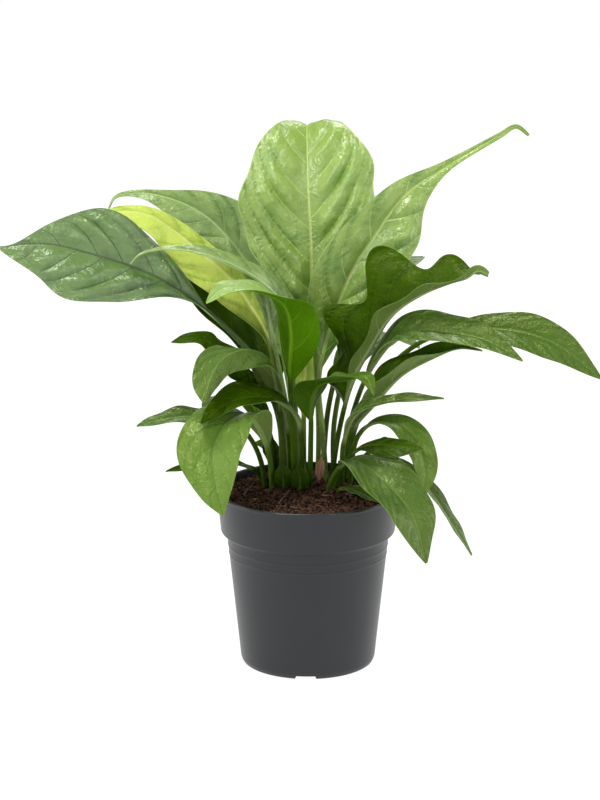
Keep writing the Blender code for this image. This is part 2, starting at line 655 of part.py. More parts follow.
def soil_height(x, y):
    """The soil's uneven top: a low mound at the crown, with lumps."""
    spread = math.hypot(x, y - 25.0)
    mound = SOIL_CROWN_RISE * math.exp(-((spread / SOIL_CROWN_SPREAD) ** 2))
    lumps = SOIL_LUMPS * math.sin(x / 6.5 + 0.6) * math.cos(y / 7.5)
    crumbs = SOIL_CRUMBS * math.sin(x / 3.9 - y / 4.6)
    return SOIL_EDGE_HEIGHT + mound + lumps + crumbs


def soil_profile():
    floor = BASE_LIFT + BASE_THICKNESS + CLEARANCE
    side = WALL + CLEARANCE
    return [
        (0.0, floor),
        (FOOT_RADIUS - 0.4 - side, floor),
        (BODY_FOOT_RADIUS - side, 18.0),
        (BODY_TOP_RADIUS - side, STEP_HEIGHT),
        (band_radius(BAND_FOOT_HEIGHT) - side, BAND_FOOT_HEIGHT + 3.0),
        (band_radius(SOIL_EDGE_HEIGHT) - side, SOIL_EDGE_HEIGHT - 3.0),
        (band_radius(SOIL_EDGE_HEIGHT) - side - 0.6, SOIL_EDGE_HEIGHT),
        (78.0, SOIL_EDGE_HEIGHT),
        (62.0, SOIL_EDGE_HEIGHT),
        (46.0, SOIL_EDGE_HEIGHT),
        (30.0, SOIL_EDGE_HEIGHT),
        (15.0, SOIL_EDGE_HEIGHT),
        (0.0, SOIL_EDGE_HEIGHT),
    ]


def stalk_hole_cutter(shape):
    """A round sleeve about the foot of a stalk, a little wider than it, bent at the stalk's own rows."""
    leaf = Leaf(shape)
    along = leaf.shape["blade"] * np.arange(STALK_ROWS + 1) / STALK_ROWS
    places = [int(round(share * (len(leaf.path) - 1))) for share in along]
    above_soil = [row for row in places if leaf.path[row, 2] > SLEEVE_TOP]
    if above_soil:
        places = places[:places.index(above_soil[0]) + 1]
    bm = bmesh.new()
    bmesh.ops.create_grid(bm, x_segments=SLEEVE_SIDES, y_segments=len(places) - 1, size=1.0)
    for vert in bm.verts:
        angle = math.pi * vert.co.x
        row = places[round((vert.co.y + 1) / 2 * (len(places) - 1))]
        radius = leaf.stalk_radius(leaf.steps[row]) + BLADE_HALF_THICKNESS + 1.6 * CLEARANCE
        ring = leaf.side[row] * math.cos(angle) + leaf.face[row] * math.sin(angle)
        deeper = np.cross(leaf.face[row], leaf.side[row]) if row == 0 else 0.0
        vert.co = leaf.path[row] + ring * radius - deeper
    bmesh.ops.remove_doubles(bm, verts=bm.verts[:], dist=0.01)
    bmesh.ops.holes_fill(bm, edges=bm.edges[:])
    bmesh.ops.recalc_face_normals(bm, faces=bm.faces[:])
    return as_cutter(add_object("stalk_hole_cutter", bm, None))


def make_soil():
    bm = turned(soil_profile(), POT_SIDES)
    for vert in bm.verts:
        if abs(vert.co.z - SOIL_EDGE_HEIGHT) < 0.01:
            vert.co.z = soil_height(vert.co.x, vert.co.y)
    soil = add_object("soil", bm, principled("peat", SOIL_COLOUR, 0.95))
    cut(soil, [stalk_hole_cutter(shape) for shape in LEAVES.values()])
    return soil


def main():
    clear_scene()
    make_pot()
    make_soil()
    for name, shape in LEAVES.items():
        make_leaf(name, shape)


main()
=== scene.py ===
"""The look of a foliage anthurium in a nursery pot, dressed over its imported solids.

Lengths are in millimetres until a piece becomes an object. Z is up, and the photographed side faces -Y.
"""

import math
import random

import bmesh
import bpy
import numpy as np
from mathutils import Matrix, Vector, noise


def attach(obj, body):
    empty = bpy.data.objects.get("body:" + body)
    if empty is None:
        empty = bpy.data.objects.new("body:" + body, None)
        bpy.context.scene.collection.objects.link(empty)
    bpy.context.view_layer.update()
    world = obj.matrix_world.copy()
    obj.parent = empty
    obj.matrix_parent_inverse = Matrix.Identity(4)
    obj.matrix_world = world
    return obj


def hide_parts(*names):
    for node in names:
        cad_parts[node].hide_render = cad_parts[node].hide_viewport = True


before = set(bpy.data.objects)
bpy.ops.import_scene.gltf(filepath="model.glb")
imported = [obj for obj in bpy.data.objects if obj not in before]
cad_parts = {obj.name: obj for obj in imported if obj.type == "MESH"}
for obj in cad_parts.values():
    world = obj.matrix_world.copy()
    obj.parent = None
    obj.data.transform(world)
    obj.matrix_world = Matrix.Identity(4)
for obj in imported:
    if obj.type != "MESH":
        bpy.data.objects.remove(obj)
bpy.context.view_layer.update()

# One millimetre, in metres
MM = 0.001

# The camera, fitted to the photographed pot: places in metres, lens and sensor in millimetres
CAMERA_TARGET = (-0.0082, 0.0, 0.2786)
CAMERA_DISTANCE = 4.0
CAMERA_ELEVATION = math.radians(15.5)
CAMERA_LENS = 176.3
CAMERA_SENSOR = 36.0
CAMERA_REACH = 100.0

# The pot, in millimetres
POT_HEIGHT = 185.5
RIM_RADIUS = 95.0
LIP_HEIGHT = 3.8
BAND_FOOT_HEIGHT = 141.0
STEP_HEIGHT = 137.5
BODY_TOP_RADIUS = 83.4
BODY_FOOT_RADIUS = 70.6
BODY_FOOT_HEIGHT = 18.0
BAND_INSET = 5.4
BAND_FLARE = 4.4
FOOT_RADIUS = 65.5
FOOT_RING_WIDTH = 7.0
WALL = 1.8
BASE_LIFT = 4.0
BASE_THICKNESS = 2.2
PAD_RADIUS = 12.0
RING_LINES = (117.5, 127.0)
RING_LINE_RISE = 0.5
RING_LINE_HALF = 1.2
CORNER_CUT = 0.9
POT_SIDES = 160
NOTCH_WIDTH = 24.0
NOTCH_TAPER = 4.6
NOTCH_HEIGHT = 4.0
NOTCH_REACH = 8.0
NOTCH_BEARINGS = (-92.0, -2.0, 88.0, 178.0)
DRAIN_RADIUS = 5.0
DRAIN_CIRCLE = 42.0
DRAIN_COUNT = 8
CUT_OVER = 2.0

# The pot's skin, in bumps or clouds per metre
PEEL_PER_METRE = 900.0
CLOUD_PER_METRE = 22.0

# The soil, in millimetres
SOIL_EDGE_HEIGHT = 175.5
SOIL_CROWN_RISE = 5.5
SOIL_CROWN_SPREAD = 48.0
SOIL_CROWN_Y = 25.0
SOIL_LUMP_RISE = 0.9
SOIL_RADIUS = 90.4
CLOD_SIZE = 9.0
CLOD_RISE = 2.0
GRIT_SIZE = 3.0
GRIT_RISE = 1.1
BED_DEPTH = 6.0
BED_BEVEL = 3.0
BED_RING_STEP = 1.5
BED_SIDES = 220
CRUMB_COUNT = 8192
CRUMB_SMALLEST = 0.8
CRUMB_SPREAD = 2.0
FIBRE_COUNT = 85
FIBRE_LINKS = 3
FIBRE_HALF_THICKNESS = (0.14, 0.34)
FIBRE_LINK_LENGTH = (1.6, 4.2)
FIBRE_BEND = 0.7
GRAIN_PER_METRE = 260.0

# The leaves, in millimetres and in shares of the leaf's or the blade's length
BLADE_HALF_THICKNESS = 0.3
STALK_TAPER = 0.35
RIB_TAPER = 0.75
RIB_FADE = 0.10
BLADE_OPENING = 0.08
WAVE_LAG = 0.37
TAIL_START = 0.3
TAIL_BLUNTNESS = 0.3
TWIST_START = 0.82
TIP_END = 0.994
PATH_STEPS = 400
STRETCH_STEPS = 24
ACROSS_NUDGE = 0.01
ALONG_NUDGE = 0.003

# The leaves' grids. A large blade has finer ones, and columns crowd towards the midrib.
ROW_LENGTH = 2.2
COLUMN_WIDTH = 1.9
STALK_ROW_LENGTH = 7.0
FEWEST_BLADE_ROWS = 24
FEWEST_STALK_ROWS = 8
FEWEST_COLUMNS = 12
LARGE_HALF = 35
LARGE_FINENESS = 1.35
MIDRIB_CROWDING = 1.25

# Where the side veins leave the midrib, as shares of the blade or of the gap between two veins, and
# how they run to the margin
FIRST_VEIN = 0.03
VEIN_SPREAD = 0.92
VEIN_LAG = 0.35
VEIN_UNEVENNESS = 0.16
VEIN_SLANT = 0.95
VEIN_BEND = 0.75
VEIN_RUN_ACROSS = 0.75
VEIN_RUN_ALONG = 0.66

# The relief: depths in millimetres, and creases and rungs as shares of what the blade puffs up
CHANNEL_DEPTH = 0.7
CHANNEL_SPREAD = 0.45
CHANNEL_END = 0.05
GUTTER_DEPTH = 0.5
CREASE_SHARE = 0.07
RUNG_SHARE = 0.08
RUNG_LENGTH = 1.25

# The leaves' maps. The shift keeps two leaves from having the same patches.
LEAF_MAPS = ("lay", "veins", "place", "rungs")
LAY_SHIFT = 1000
RUNG_RATE = 0.24
RUNG_STAGGER = 1.6

# The leaves' patterns, per millimetre: patches 28 mm across, the net's cells 5 mm and 1.4 mm, and on
# the underside cells of 4.5 mm and streaks 8 mm apart
PATCHES_PER_MM = 0.035
NET_PER_MM = 0.2
FINE_NET_PER_MM = 0.7
UNDER_NET_PER_MM = 0.22
STREAKS_PER_MM = 0.12

# A thick wax reflects white light. A thin one lets the leaf's green tint what it reflects.
THICK_WAX = 0.6
THICK_WAX_TINT = "#FAFAF0"
THIN_WAX_TINT = "#E8EC9C"

# The studio: a dim white world, and dark paper that glows, so that it is white all over and the pot
# hardly throws a shadow on it. Its sizes are in millimetres.
WORLD_STRENGTH = 0.10
PAPER_GREY = "#5C5C5C"
PAPER_GLOW = 0.95
PAPER_HALF = 40000.0
PAPER_GAP = 0.3
WALL_RADIUS = 14000.0
WALL_HEIGHT = 3500.0
WALL_SINK = 1.0

# The studio's lights: name, place, width and height in metres, power in watts
LIGHT_TARGET = (0.0, 0.0, 0.3)
STUDIO_LIGHTS = (
    ("top_softbox", (-0.4, -0.3, 2.5), 0.6, 0.5, 36.0),
    ("key_softbox", (-1.5, -1.9, 1.9), 0.3, 0.35, 32.0),
    ("front_softbox", (1.5, -2.2, 1.9), 0.25, 0.3, 20.0),
    ("left_softbox", (-2.1, 0.0, 0.9), 0.5, 1.6, 16.0),
    ("right_softbox", (2.1, 0.1, 0.9), 0.5, 1.6, 15.0),
    ("back_softbox", (0.4, 2.0, 2.3), 1.2, 0.8, 34.0),
)

# What a leaf has unless its own entry says otherwise. Angles are in degrees, lengths in millimetres.
# blade: share of the midrib where the blade begins. half: half width. widest: where along the blade.
# base, tip: how fast the width grows and closes. roll: turn of the upper face about the midrib, at
# the blade's base, middle and tip. lift: how far the halves fold up. curl: how far they bend on.
# wave: height, count and phase of the margin's waves. notch: the same, in the plane of the blade.
# tail: half width that a long tip keeps. twist: how far the tip turns over, beyond the roll.
# A pair is (left, right), seen from above with the tip pointing away.
USUAL = {
    "blade": 0.35,
    "half": (30, 30),
    "widest": (0.5, 0.5),
    "base": (1.0, 1.0),
    "tip": (0.9, 0.9),
    "roll": (0, 0, 0),
    "lift": ((20, 20), (10, 10), (5, 5)),
    "curl": ((0, 0), (0, 0), (0, 0)),
    "wave": (2, 3, 0),
    "notch": (0.02, 4, 0.15),
    "tail": 0,
    "twist": 0,
    "stalk": 2.8,
    "heading": None,
}


def both(*values):
    """The same value on the left and on the right half, at each of the places given."""
    return tuple((value, value) for value in values)


# Each leaf's midrib, point by point from the soil to the tip, chosen from the photograph.
LEAVES = {
    "leaf_tall": {
        "spine": [(10, 47, 168), (11, 46, 235), (8, 48, 302), (4, 56, 369), (3, 64, 430),
                  (0, 76, 487), (-1, 94, 524), (-1, 116, 540), (-1, 142, 532)],
        "blade": 0.33, "half": (71, 70), "widest": (0.56, 0.64), "base": (2.0, 2.0),
        "tip": (0.85, 0.8), "lift": ((20, 20), (5, 5), (30, 30)), "curl": ((0, 0), (0, 10), (-40, -40)),
        "wave": (3, 3.5, 0.1), "notch": (0.035, 5, 0.2), "heading": 90,
    },
    "leaf_upright": {
        "spine": [(20, 40, 168), (15, 38, 235), (11, 37, 290), (18, 38, 326), (28, 40, 360),
                  (45, 40, 404), (69, 49, 440), (99, 63, 478), (142, 83, 504), (198, 103, 533),
                  (214, 108, 541), (230, 112, 529)],
        "blade": 0.26, "half": (38, 41), "widest": (0.30, 0.46), "tip": (4.0, 8.0), "tail": 6,
        "roll": (40, 80, 40), "twist": 70, "lift": both(25, 10, 10), "wave": (3, 4, 0.2),
        "heading": 20,
    },
    "leaf_curled": {
        "spine": [(22, 31, 168), (32, 30, 238), (45, 20, 292), (64, 4, 334), (86, -10, 372),
                  (114, -26, 396), (142, -38, 411), (158, -46, 418), (170, -53, 427), (181, -61, 424)],
        "blade": 0.27, "half": (49, 11), "widest": (0.50, 0.60), "base": (0.75, 1.0), "tip": (1.3, 0.8),
        "tail": 11, "roll": (20, 30, 10), "twist": -95, "lift": ((60, 50), (55, 70), (10, 10)),
        "wave": (8, 4, 0.1), "notch": (0.38, 4, -0.15), "heading": -25,
    },
    "leaf_arch": {
        "spine": [(31, 42, 168), (42, 36, 238), (61, 18, 301), (89, -6, 345), (112, -20, 357),
                  (136, -33, 359), (177, -53, 356), (216, -72, 338)],
        "blade": 0.36, "half": (22, 20), "roll": (20, 35, 30), "lift": both(35, 20, 10),
    },
    "leaf_far_right": {
        "spine": [(36, 49, 168), (48, 50, 232), (74, 46, 289), (125, 36, 335), (197, 20, 348),
                  (249, 5, 338), (300, -12, 303)],
        "blade": 0.50, "half": (21, 24), "widest": (0.52, 0.52), "base": (1.1, 1.1),
        "roll": (20, 45, 45), "lift": both(20, 15, 5), "wave": (2, 2, 0),
    },
    "leaf_right_low": {
        "spine": [(31, 32, 168), (45, 24, 238), (69, 11, 273), (95, 0, 305), (126, -8, 325),
                  (153, -14, 337), (178, -20, 336)],
        "blade": 0.28, "half": (20, 20), "widest": (0.42, 0.42), "base": (0.9, 0.9), "tip": (1.0, 1.0),
        "roll": (20, 20, 20), "lift": ((60, 50), (50, 55), (10, 10)), "wave": (3, 3, 0),
    },
    "leaf_strap": {
        "spine": [(34, 24, 168), (38, 7, 240), (53, -12, 271), (94, -21, 285), (139, -27, 288)],
        "blade": 0.30, "half": (10, 12), "tip": (0.8, 0.8), "roll": (20, 20, 20),
        "lift": both(30, 20, 10), "wave": (1, 3, 0),
    },
    "leaf_low_arch": {
        "spine": [(42, 33, 168), (51, 23, 233), (69, 12, 252), (92, 1, 252), (112, -11, 235),
                  (120, -22, 207), (116, -30, 180)],
        "blade": 0.36, "half": (17, 16), "widest": (0.55, 0.55), "base": (1.1, 1.1),
        "roll": (20, 20, 20), "wave": (1, 3, 0),
    },
    "leaf_dark_right": {
        "spine": [(24, 20, 168), (36, 7, 206), (50, -1, 226), (69, -12, 234), (93, -28, 237),
                  (118, -43, 239)],
        "blade": 0.40, "half": (10, 20), "widest": (0.6, 0.6), "base": (1.1, 1.1),
        "roll": (20, 30, 20), "wave": (1, 3, 0),
    },
    "leaf_droop_right": {
        "spine": [(17, 12, 168), (28, -6, 202), (42, -28, 222), (66, -62, 221), (97, -91, 196),
                  (107, -100, 180), (119, -108, 137)],
        "blade": 0.22, "half": (34, 36), "lift": both(15, 10, 5),
    },
    "leaf_right_back": {
        "spine": [(46, 44, 168), (60, 36, 204), (88, 18, 213), (118, -1, 192), (144, -26, 160),
                  (168, -46, 126)],
        "half": (18, 18), "widest": (0.55, 0.55), "base": (1.1, 1.1), "roll": (0, -20, -20),
        "lift": both(15, 10, 5), "wave": (1, 3, 0),
    },
    "leaf_soil_right": {
        "spine": [(27, 6, 168), (34, -2, 185), (50, -18, 187), (72, -38, 181)],
        "blade": 0.25, "half": (12, 12), "base": (1.1, 1.1), "tip": (0.8, 0.8),
        "lift": both(15, 10, 5), "wave": (1, 3, 0),
    },
    "leaf_droop_left": {
        "spine": [(-36, 14, 168), (-40, 6, 218), (-49, -10, 250), (-63, -30, 272), (-84, -55, 270),
                  (-96, -78, 248), (-92, -98, 212), (-85, -106, 187)],
        "blade": 0.22, "half": (35, 37), "widest": (0.6, 0.6), "lift": both(25, 10, 5),
    },
    "leaf_flat_left": {
        "spine": [(-42, 24, 168), (-50, 18, 214), (-66, 3, 246), (-88, -14, 263), (-119, -30, 270),
                  (-149, -43, 270), (-174, -54, 266)],
        "half": (13, 14), "widest": (0.6, 0.6), "roll": (-20, -20, -20), "lift": both(15, 10, 5),
    },
    "leaf_dark_left": {
        "spine": [(-10, 14, 168), (-6, 4, 229), (-14, -16, 270), (-40, -33, 290), (-74, -50, 292),
                  (-109, -68, 272)],
        "half": (14, 22), "widest": (0.6, 0.6), "roll": (-10, -20, -20), "lift": both(15, 10, 5),
    },
    "leaf_nodding": {
        "spine": [(-25, 22, 168), (-27, 15, 233), (-31, 0, 285), (-41, -22, 330), (-64, -44, 344),
                  (-86, -61, 338), (-98, -76, 320), (-104, -90, 300)],
        "blade": 0.34, "half": (20, 34), "widest": (0.66, 0.66), "base": (0.9, 0.9), "tip": (0.8, 0.8),
        "roll": (0, 0, -10), "lift": ((20, 10), (-60, -10), (-70, 0)),
    },
    "leaf_crinkled": {
        "spine": [(-33, 30, 168), (-40, 26, 240), (-61, 8, 289), (-88, -6, 330), (-114, -20, 349),
                  (-139, -33, 348)],
        "blade": 0.25, "half": (20, 17), "base": (0.9, 1.2), "roll": (-50, -50, -30),
        "lift": both(25, 15, 5), "wave": (4, 5, 0), "notch": (0.06, 5, 0.3),
    },
    "leaf_far_left": {
        "spine": [(-24, 31, 168), (-28, 28, 249), (-45, 22, 304), (-66, 14, 333), (-100, 0, 371),
                  (-127, -12, 396), (-167, -25, 421), (-212, -40, 440), (-259, -55, 455),
                  (-309, -68, 455)],
        "blade": 0.45, "half": (52, 46), "widest": (0.66, 0.61), "base": (2.2, 2.0), "tip": (0.9, 2.4),
        "roll": (-40, -70, -60), "wave": (4, 3, 0.3), "notch": (0.04, 3, 0.1),
    },
    "leaf_behind_left": {
        "spine": [(-27, 40, 168), (-30, 40, 246), (-50, 36, 300), (-80, 28, 345), (-109, 20, 375),
                  (-125, 13, 396), (-148, 5, 422), (-172, -3, 435)],
        "blade": 0.30, "half": (12, 28), "widest": (0.45, 0.45), "base": (0.9, 0.9), "tip": (1.1, 1.1),
        "roll": (-40, -50, -40), "lift": both(25, 15, 5),
    },
    "leaf_lime": {
        "spine": [(-18, 40, 168), (-22, 38, 236), (-32, 33, 291), (-43, 28, 340), (-78, 27, 398),
                  (-107, 24, 426), (-134, 19, 450), (-161, 5, 471), (-189, 0, 476), (-215, -6, 471)],
        "blade": 0.38, "half": (33, 11), "widest": (0.45, 0.45), "tail": 9, "roll": (-50, -70, -30),
        "lift": both(25, 15, 5),
    },
    "leaf_upper_left": {
        "spine": [(-12, 50, 168), (-20, 54, 243), (-34, 64, 316), (-47, 79, 376), (-69, 86, 411),
                  (-103, 89, 449), (-135, 89, 467), (-170, 89, 475), (-198, 93, 470), (-207, 94, 455)],
        "blade": 0.36, "half": (39, 52), "widest": (0.45, 0.36), "base": (1.0, 1.8), "tip": (2.4, 4.0),
        "tail": 6, "roll": (-75, -80, -25), "lift": both(25, 15, 5), "wave": (3, 3, 0.4),
    },
    "leaf_edge_on": {
        "spine": [(-8, 32, 168), (-12, 32, 247), (-19, 28, 322), (-28, 19, 377), (-47, 10, 400),
                  (-75, 0, 420), (-110, -15, 437), (-146, -30, 444), (-169, -38, 440), (-180, -42, 430)],
        "blade": 0.40, "half": (14, 16), "widest": (0.35, 0.35), "tip": (1.3, 1.3),
        "roll": (-45, -25, 0), "lift": both(25, 15, 5), "wave": (1, 3, 0),
    },
    "leaf_folding": {
        "spine": [(-14, 24, 168), (-16, 12, 243), (-18, -4, 311), (-17, -18, 357), (-25, -34, 389),
                  (-53, -58, 408), (-83, -80, 416), (-102, -98, 404)],
        "blade": 0.38, "half": (32, 28), "widest": (0.35, 0.35), "roll": (0, -10, -20),
        "lift": both(25, 15, 5),
    },
    "leaf_crumpled": {
        "spine": [(-17.5, 32.5, 168), (-19, 28, 215), (-24, 20, 255), (-34, 10, 282), (-45, 3, 304),
                  (-57, -2, 322), (-64, -4, 330)],
        "blade": 0.38, "half": (14, 13), "widest": (0.6, 0.6), "base": (0.8, 0.8), "tip": (0.6, 0.6),
        "roll": (40, 60, 40), "lift": both(40, 40, 30), "wave": (2, 5, 0), "stalk": 2.2,
    },
    "leaf_centre": {
        "spine": [(2, 13, 168), (3, -8, 249), (4, -20, 284), (12, -32, 304), (35, -48, 313),
                  (58, -60, 318), (66, -66, 301)],
        "blade": 0.42, "half": (24, 24), "widest": (0.4, 0.4), "lift": both(25, 15, 5),
    },
    "leaf_low_left": {
        "spine": [(-44, 36, 168), (-50, 32, 190), (-68, 19, 205), (-95, 2, 212), (-146, -18, 208)],
        "blade": 0.25, "half": (10, 10), "roll": (-10, -20, -20), "lift": both(15, 10, 5),
        "wave": (1, 3, 0),
    },
    "leaf_grey_back": {
        "spine": [(-33, 50, 168), (-35, 52, 198), (-42, 56, 215), (-57, 62, 215)],
        "blade": 0.30, "half": (9, 9), "roll": (-40, -50, -20), "lift": both(15, 10, 5),
        "wave": (1, 3, 0),
    },
    "leaf_back_high": {
        "spine": [(-4, 62, 168), (-4, 76, 260), (0, 112, 333), (2, 162, 354), (2, 214, 336)],
        "blade": 0.25, "half": (31, 26), "widest": (0.55, 0.55),
    },
    "leaf_back_left": {
        "spine": [(-22, 60, 168), (-28, 72, 250), (-48, 105, 320), (-76, 155, 348), (-100, 205, 326)],
        "half": (34, 34),
    },
    "leaf_back_right": {
        "spine": [(27, 58, 168), (28, 70, 240), (44, 100, 290), (84, 150, 306), (120, 196, 282)],
        "half": (28, 28),
    },
    "leaf_back_low_left": {
        "spine": [(-36, 60, 168), (-44, 70, 222), (-66, 90, 256), (-96, 112, 250), (-112, 125, 222)],
        "blade": 0.30, "half": (20, 20),
    },
    "leaf_back_low_right": {
        "spine": [(44, 56, 168), (56, 70, 194), (82, 95, 204), (108, 120, 190), (120, 136, 164)],
        "blade": 0.30, "half": (17, 17),
    },
    "leaf_back_upper_left": {
        "spine": [(-12, 62, 168), (-18, 74, 260), (-40, 100, 360), (-62, 134, 418), (-90, 184, 432)],
        "blade": 0.40, "half": (34, 34),
    },
    "leaf_back_upper_right": {
        "spine": [(14, 60, 168), (24, 80, 262), (56, 106, 350), (94, 148, 386), (124, 190, 384)],
        "blade": 0.42, "half": (32, 32),
    },
    "sheath_left": {
        "spine": [(-26, 11, 168), (-25, 4, 190), (-27, 3, 209)],
        "blade": 0.40, "half": (9, 10), "base": (0.3, 0.3), "tip": (0.6, 0.6), "lift": both(20, 20, 20),
        "curl": both(-20, -20, -20), "wave": (0, 3, 0), "stalk": 1.6, "heading": 90,
    },
    "sheath_right": {
        "spine": [(-11, 5, 168), (-8, 0, 190), (-10, -1, 207)],
        "blade": 0.40, "half": (9, 10), "base": (0.3, 0.3), "tip": (0.45, 0.45), "lift": both(20, 20, 20),
        "curl": both(-20, -20, -20), "wave": (0, 3, 0), "stalk": 2.0, "heading": 90,
    },
    "sheath_papery": {
        "spine": [(11, 32, 168), (12, 29, 190), (14, 27, 210)],
        "blade": 0.40, "half": (5, 5), "base": (0.5, 0.5), "tip": (0.9, 0.9), "lift": both(30, 30, 20),
        "wave": (0, 3, 0), "stalk": 1.5, "heading": 90,
    },
}

# How each leaf is finished: its style, the number of side veins in each half, and the height in
# millimetres that the blade puffs up between them.
LEAF_LOOKS = {
    "leaf_tall": ("fresh", 8, 8.5),
    "leaf_upright": ("fresh", 7, 8.0),
    "leaf_curled": ("deep", 6, 3.0),
    "leaf_arch": ("middle", 9, 3.6),
    "leaf_far_right": ("middle", 9, 3.6),
    "leaf_right_low": ("deep", 6, 1.8),
    "leaf_strap": ("middle", 7, 0.6),
    "leaf_low_arch": ("bright", 6, 0.9),
    "leaf_dark_right": ("deep", 6, 0.9),
    "leaf_droop_right": ("middle", 8, 4.0),
    "leaf_right_back": ("middle", 6, 1.0),
    "leaf_soil_right": ("deep", 5, 0.7),
    "leaf_droop_left": ("bright", 5, 2.4),
    "leaf_flat_left": ("middle", 7, 1.0),
    "leaf_dark_left": ("deep", 6, 1.2),
    "leaf_nodding": ("middle", 6, 1.2),
    "leaf_crinkled": ("deep", 9, 4.5),
    "leaf_far_left": ("bluish", 7, 8.5),
    "leaf_behind_left": ("deep", 6, 1.6),
    "leaf_lime": ("lime", 7, 1.8),
    "leaf_upper_left": ("soft", 9, 6.0),
    "leaf_edge_on": ("soft", 6, 0.6),
    "leaf_folding": ("glowing", 6, 1.2),
    "leaf_crumpled": ("middle", 6, 1.2),
    "leaf_centre": ("shaded", 6, 1.0),
    "leaf_low_left": ("deep", 5, 0.7),
    "leaf_grey_back": ("deep", 4, 0.4),
    "leaf_back_high": ("lime", 6, 2.0),
    "leaf_back_left": ("middle", 6, 2.0),
    "leaf_back_right": ("middle", 6, 1.8),
    "leaf_back_low_left": ("deep", 6, 1.2),
    "leaf_back_low_right": ("deep", 6, 1.2),
    "leaf_back_upper_left": ("fresh", 6, 2.2),
    "leaf_back_upper_right": ("middle", 6, 2.2),
    "sheath_left": ("clasping", 3, 0.0),
    "sheath_right": ("clasping", 3, 0.0),
    "sheath_papery": ("papery", 3, 0.0),
}

# Each style's colours: blade, blade in its darker patches and in its painted shade, veins, underside,
# underside's veins and stalk. Then, on the upper face, how strongly the side veins show, how deep the
# small puckers are and how strongly the wax shines.
LEAF_STYLES = {
    "fresh": ("#829C46", "#4E7614", "#B2C870", "#82985A", "#A8BA80", "#6A842C", 0.62, 0.45, 0.90),
    "bright": ("#5C7A2E", "#426214", "#4E6E22", "#6C8440", "#8CA062", "#486618", 0.40, 0.3, 0.55),
    "soft": ("#819956", "#4C6C20", "#A4BE80", "#84985C", "#A2B280", "#58762A", 0.55, 0.45, 0.70),
    "middle": ("#4C6628", "#324C0A", "#627E3C", "#6A7E3E", "#8A9C64", "#3C5610", 0.45, 0.45, 0.50),
    # deep: leaves deep inside the plant, in their own dark greens darkened further as painted shade
    "deep": ("#344F00", "#203600", "#486618", "#5E7436", "#80905E", "#304A06", 0.45, 0.45, 0.18),
    "clasping": ("#2E4A0A", "#243C06", "#506C2A", "#2E4A0A", "#567034", "#2C480A", 0.15, 0.0, 0.20),
    "shaded": ("#4E6C1E", "#38540C", "#789448", "#324F08", "#4A6A1C", "#34520E", 0.40, 0.3, 0.25),
    "bluish": ("#607C40", "#2A481A", "#2A4414", "#6C8050", "#8A9C74", "#425E22", 0.85, 0.45, 1.00),
    "glowing": ("#86A258", "#749048", "#B0C086", "#447000", "#68901C", "#4C700E", 0.40, 0.2, 0.30),
    "lime": ("#B8C85C", "#6E8C2C", "#CCD282", "#A2AC4E", "#C4CA78", "#6C8030", 0.50, 0.35, 0.40),
    "papery": ("#B4846C", "#8A6250", "#C8A48C", "#B4846C", "#C8A48C", "#9C7460", 0.40, 0.0, 0.20),
}

# The material slot that each style belongs to
STYLE_SLOTS = {
    "fresh": "leaf_fresh",
    "bright": "leaf_fresh",
    "soft": "leaf_middle",
    "middle": "leaf_middle",
    "deep": "leaf_dark",
    "shaded": "leaf_dark",
    "clasping": "leaf_dark",
    "bluish": "leaf_middle",
    "glowing": "leaf_fresh",
    "lime": "leaf_lime",
    "papery": "sheath_paper",
}


# Colour and node tools

def linear(colour):
    """A linear colour from an sRGB hex value."""
    channels = [int(colour[index:index + 2], 16) / 255 for index in (1, 3, 5)]
    return [c / 12.92 if c <= 0.04045 else ((c + 0.055) / 1.055) ** 2.4 for c in channels] + [1.0]


def add(tree, kind, inputs, out, **settings):
    """Adds a node with its settings, gives each input a value or a link, and returns one output."""
    node = tree.nodes.new("ShaderNode" + kind)
    for name, value in settings.items():
        setattr(node, name, value)
    for name, value in inputs.items():
        if isinstance(value, bpy.types.NodeSocket):
            tree.links.new(value, node.inputs[name])
        else:
            node.inputs[name].default_value = value
    return node.outputs[out]


def new_material(name):
    """A material with its tree and its Principled shader."""
    material = bpy.data.materials.new(name)
    material.use_nodes = True
    return material, material.node_tree, material.node_tree.nodes["Principled BSDF"]


def add_object(name, bm, materials, node=None, slot=None, smooth_angle=40.0):
    """Turns the mesh, built in millimetres, into an object in metres that rides on the part."""
    bmesh.ops.scale(bm, vec=(MM, MM, MM), verts=bm.verts[:])
    mesh = bpy.data.meshes.new(name)
    bm.to_mesh(mesh)
    bm.free()
    mesh.shade_smooth()
    mesh.set_sharp_from_angle(angle=math.radians(smooth_angle))
    for material in materials:
        mesh.materials.append(material)
    piece = bpy.data.objects.new(name, mesh)
    bpy.context.scene.collection.objects.link(piece)
    if slot:
        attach(piece, "root")
    if node:
        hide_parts(node)
    return piece


# Leaf materials. A leaf has four maps: "lay" holds millimetres across and along the blade, "veins"
# the count of side veins passed and the distance from the midrib in stalk radii, "place" the share
# of the half width and of the blade's length, and "rungs" the way along the side veins and across.

def leaf_maps(tree):
    """What both faces read: the way over the blade, the veins and the place on the blade."""
    lay = add(tree, "UVMap", {}, "UV", uv_map="lay")
    veins = add(tree, "SeparateXYZ", {0: add(tree, "UVMap", {}, "UV", uv_map="veins")}, "X").node
    place = add(tree, "SeparateXYZ", {0: add(tree, "UVMap", {}, "UV", uv_map="place")}, "X").node
    return lay, veins.outputs, place.outputs


def side_veins(tree, veins, place, widths, strength):
    """How far a point is from a side vein, and how much it lies on one. Veins thin out to the margin."""
    apart = add(tree, "Math", {0: veins["X"], 1: 0.5}, 0, operation="PINGPONG")
    width = add(tree, "MapRange", {"Value": place["X"], "To Min": widths[0], "To Max": widths[1]}, "Result")
    near = add(tree, "Math", {0: apart, 1: width}, 0, operation="DIVIDE")
    line = add(
        tree, "MapRange", {"Value": near, "From Min": 1.0, "From Max": 0.3, "To Max": strength}, "Result",
        interpolation_type="SMOOTHSTEP",
    )
    return apart, line


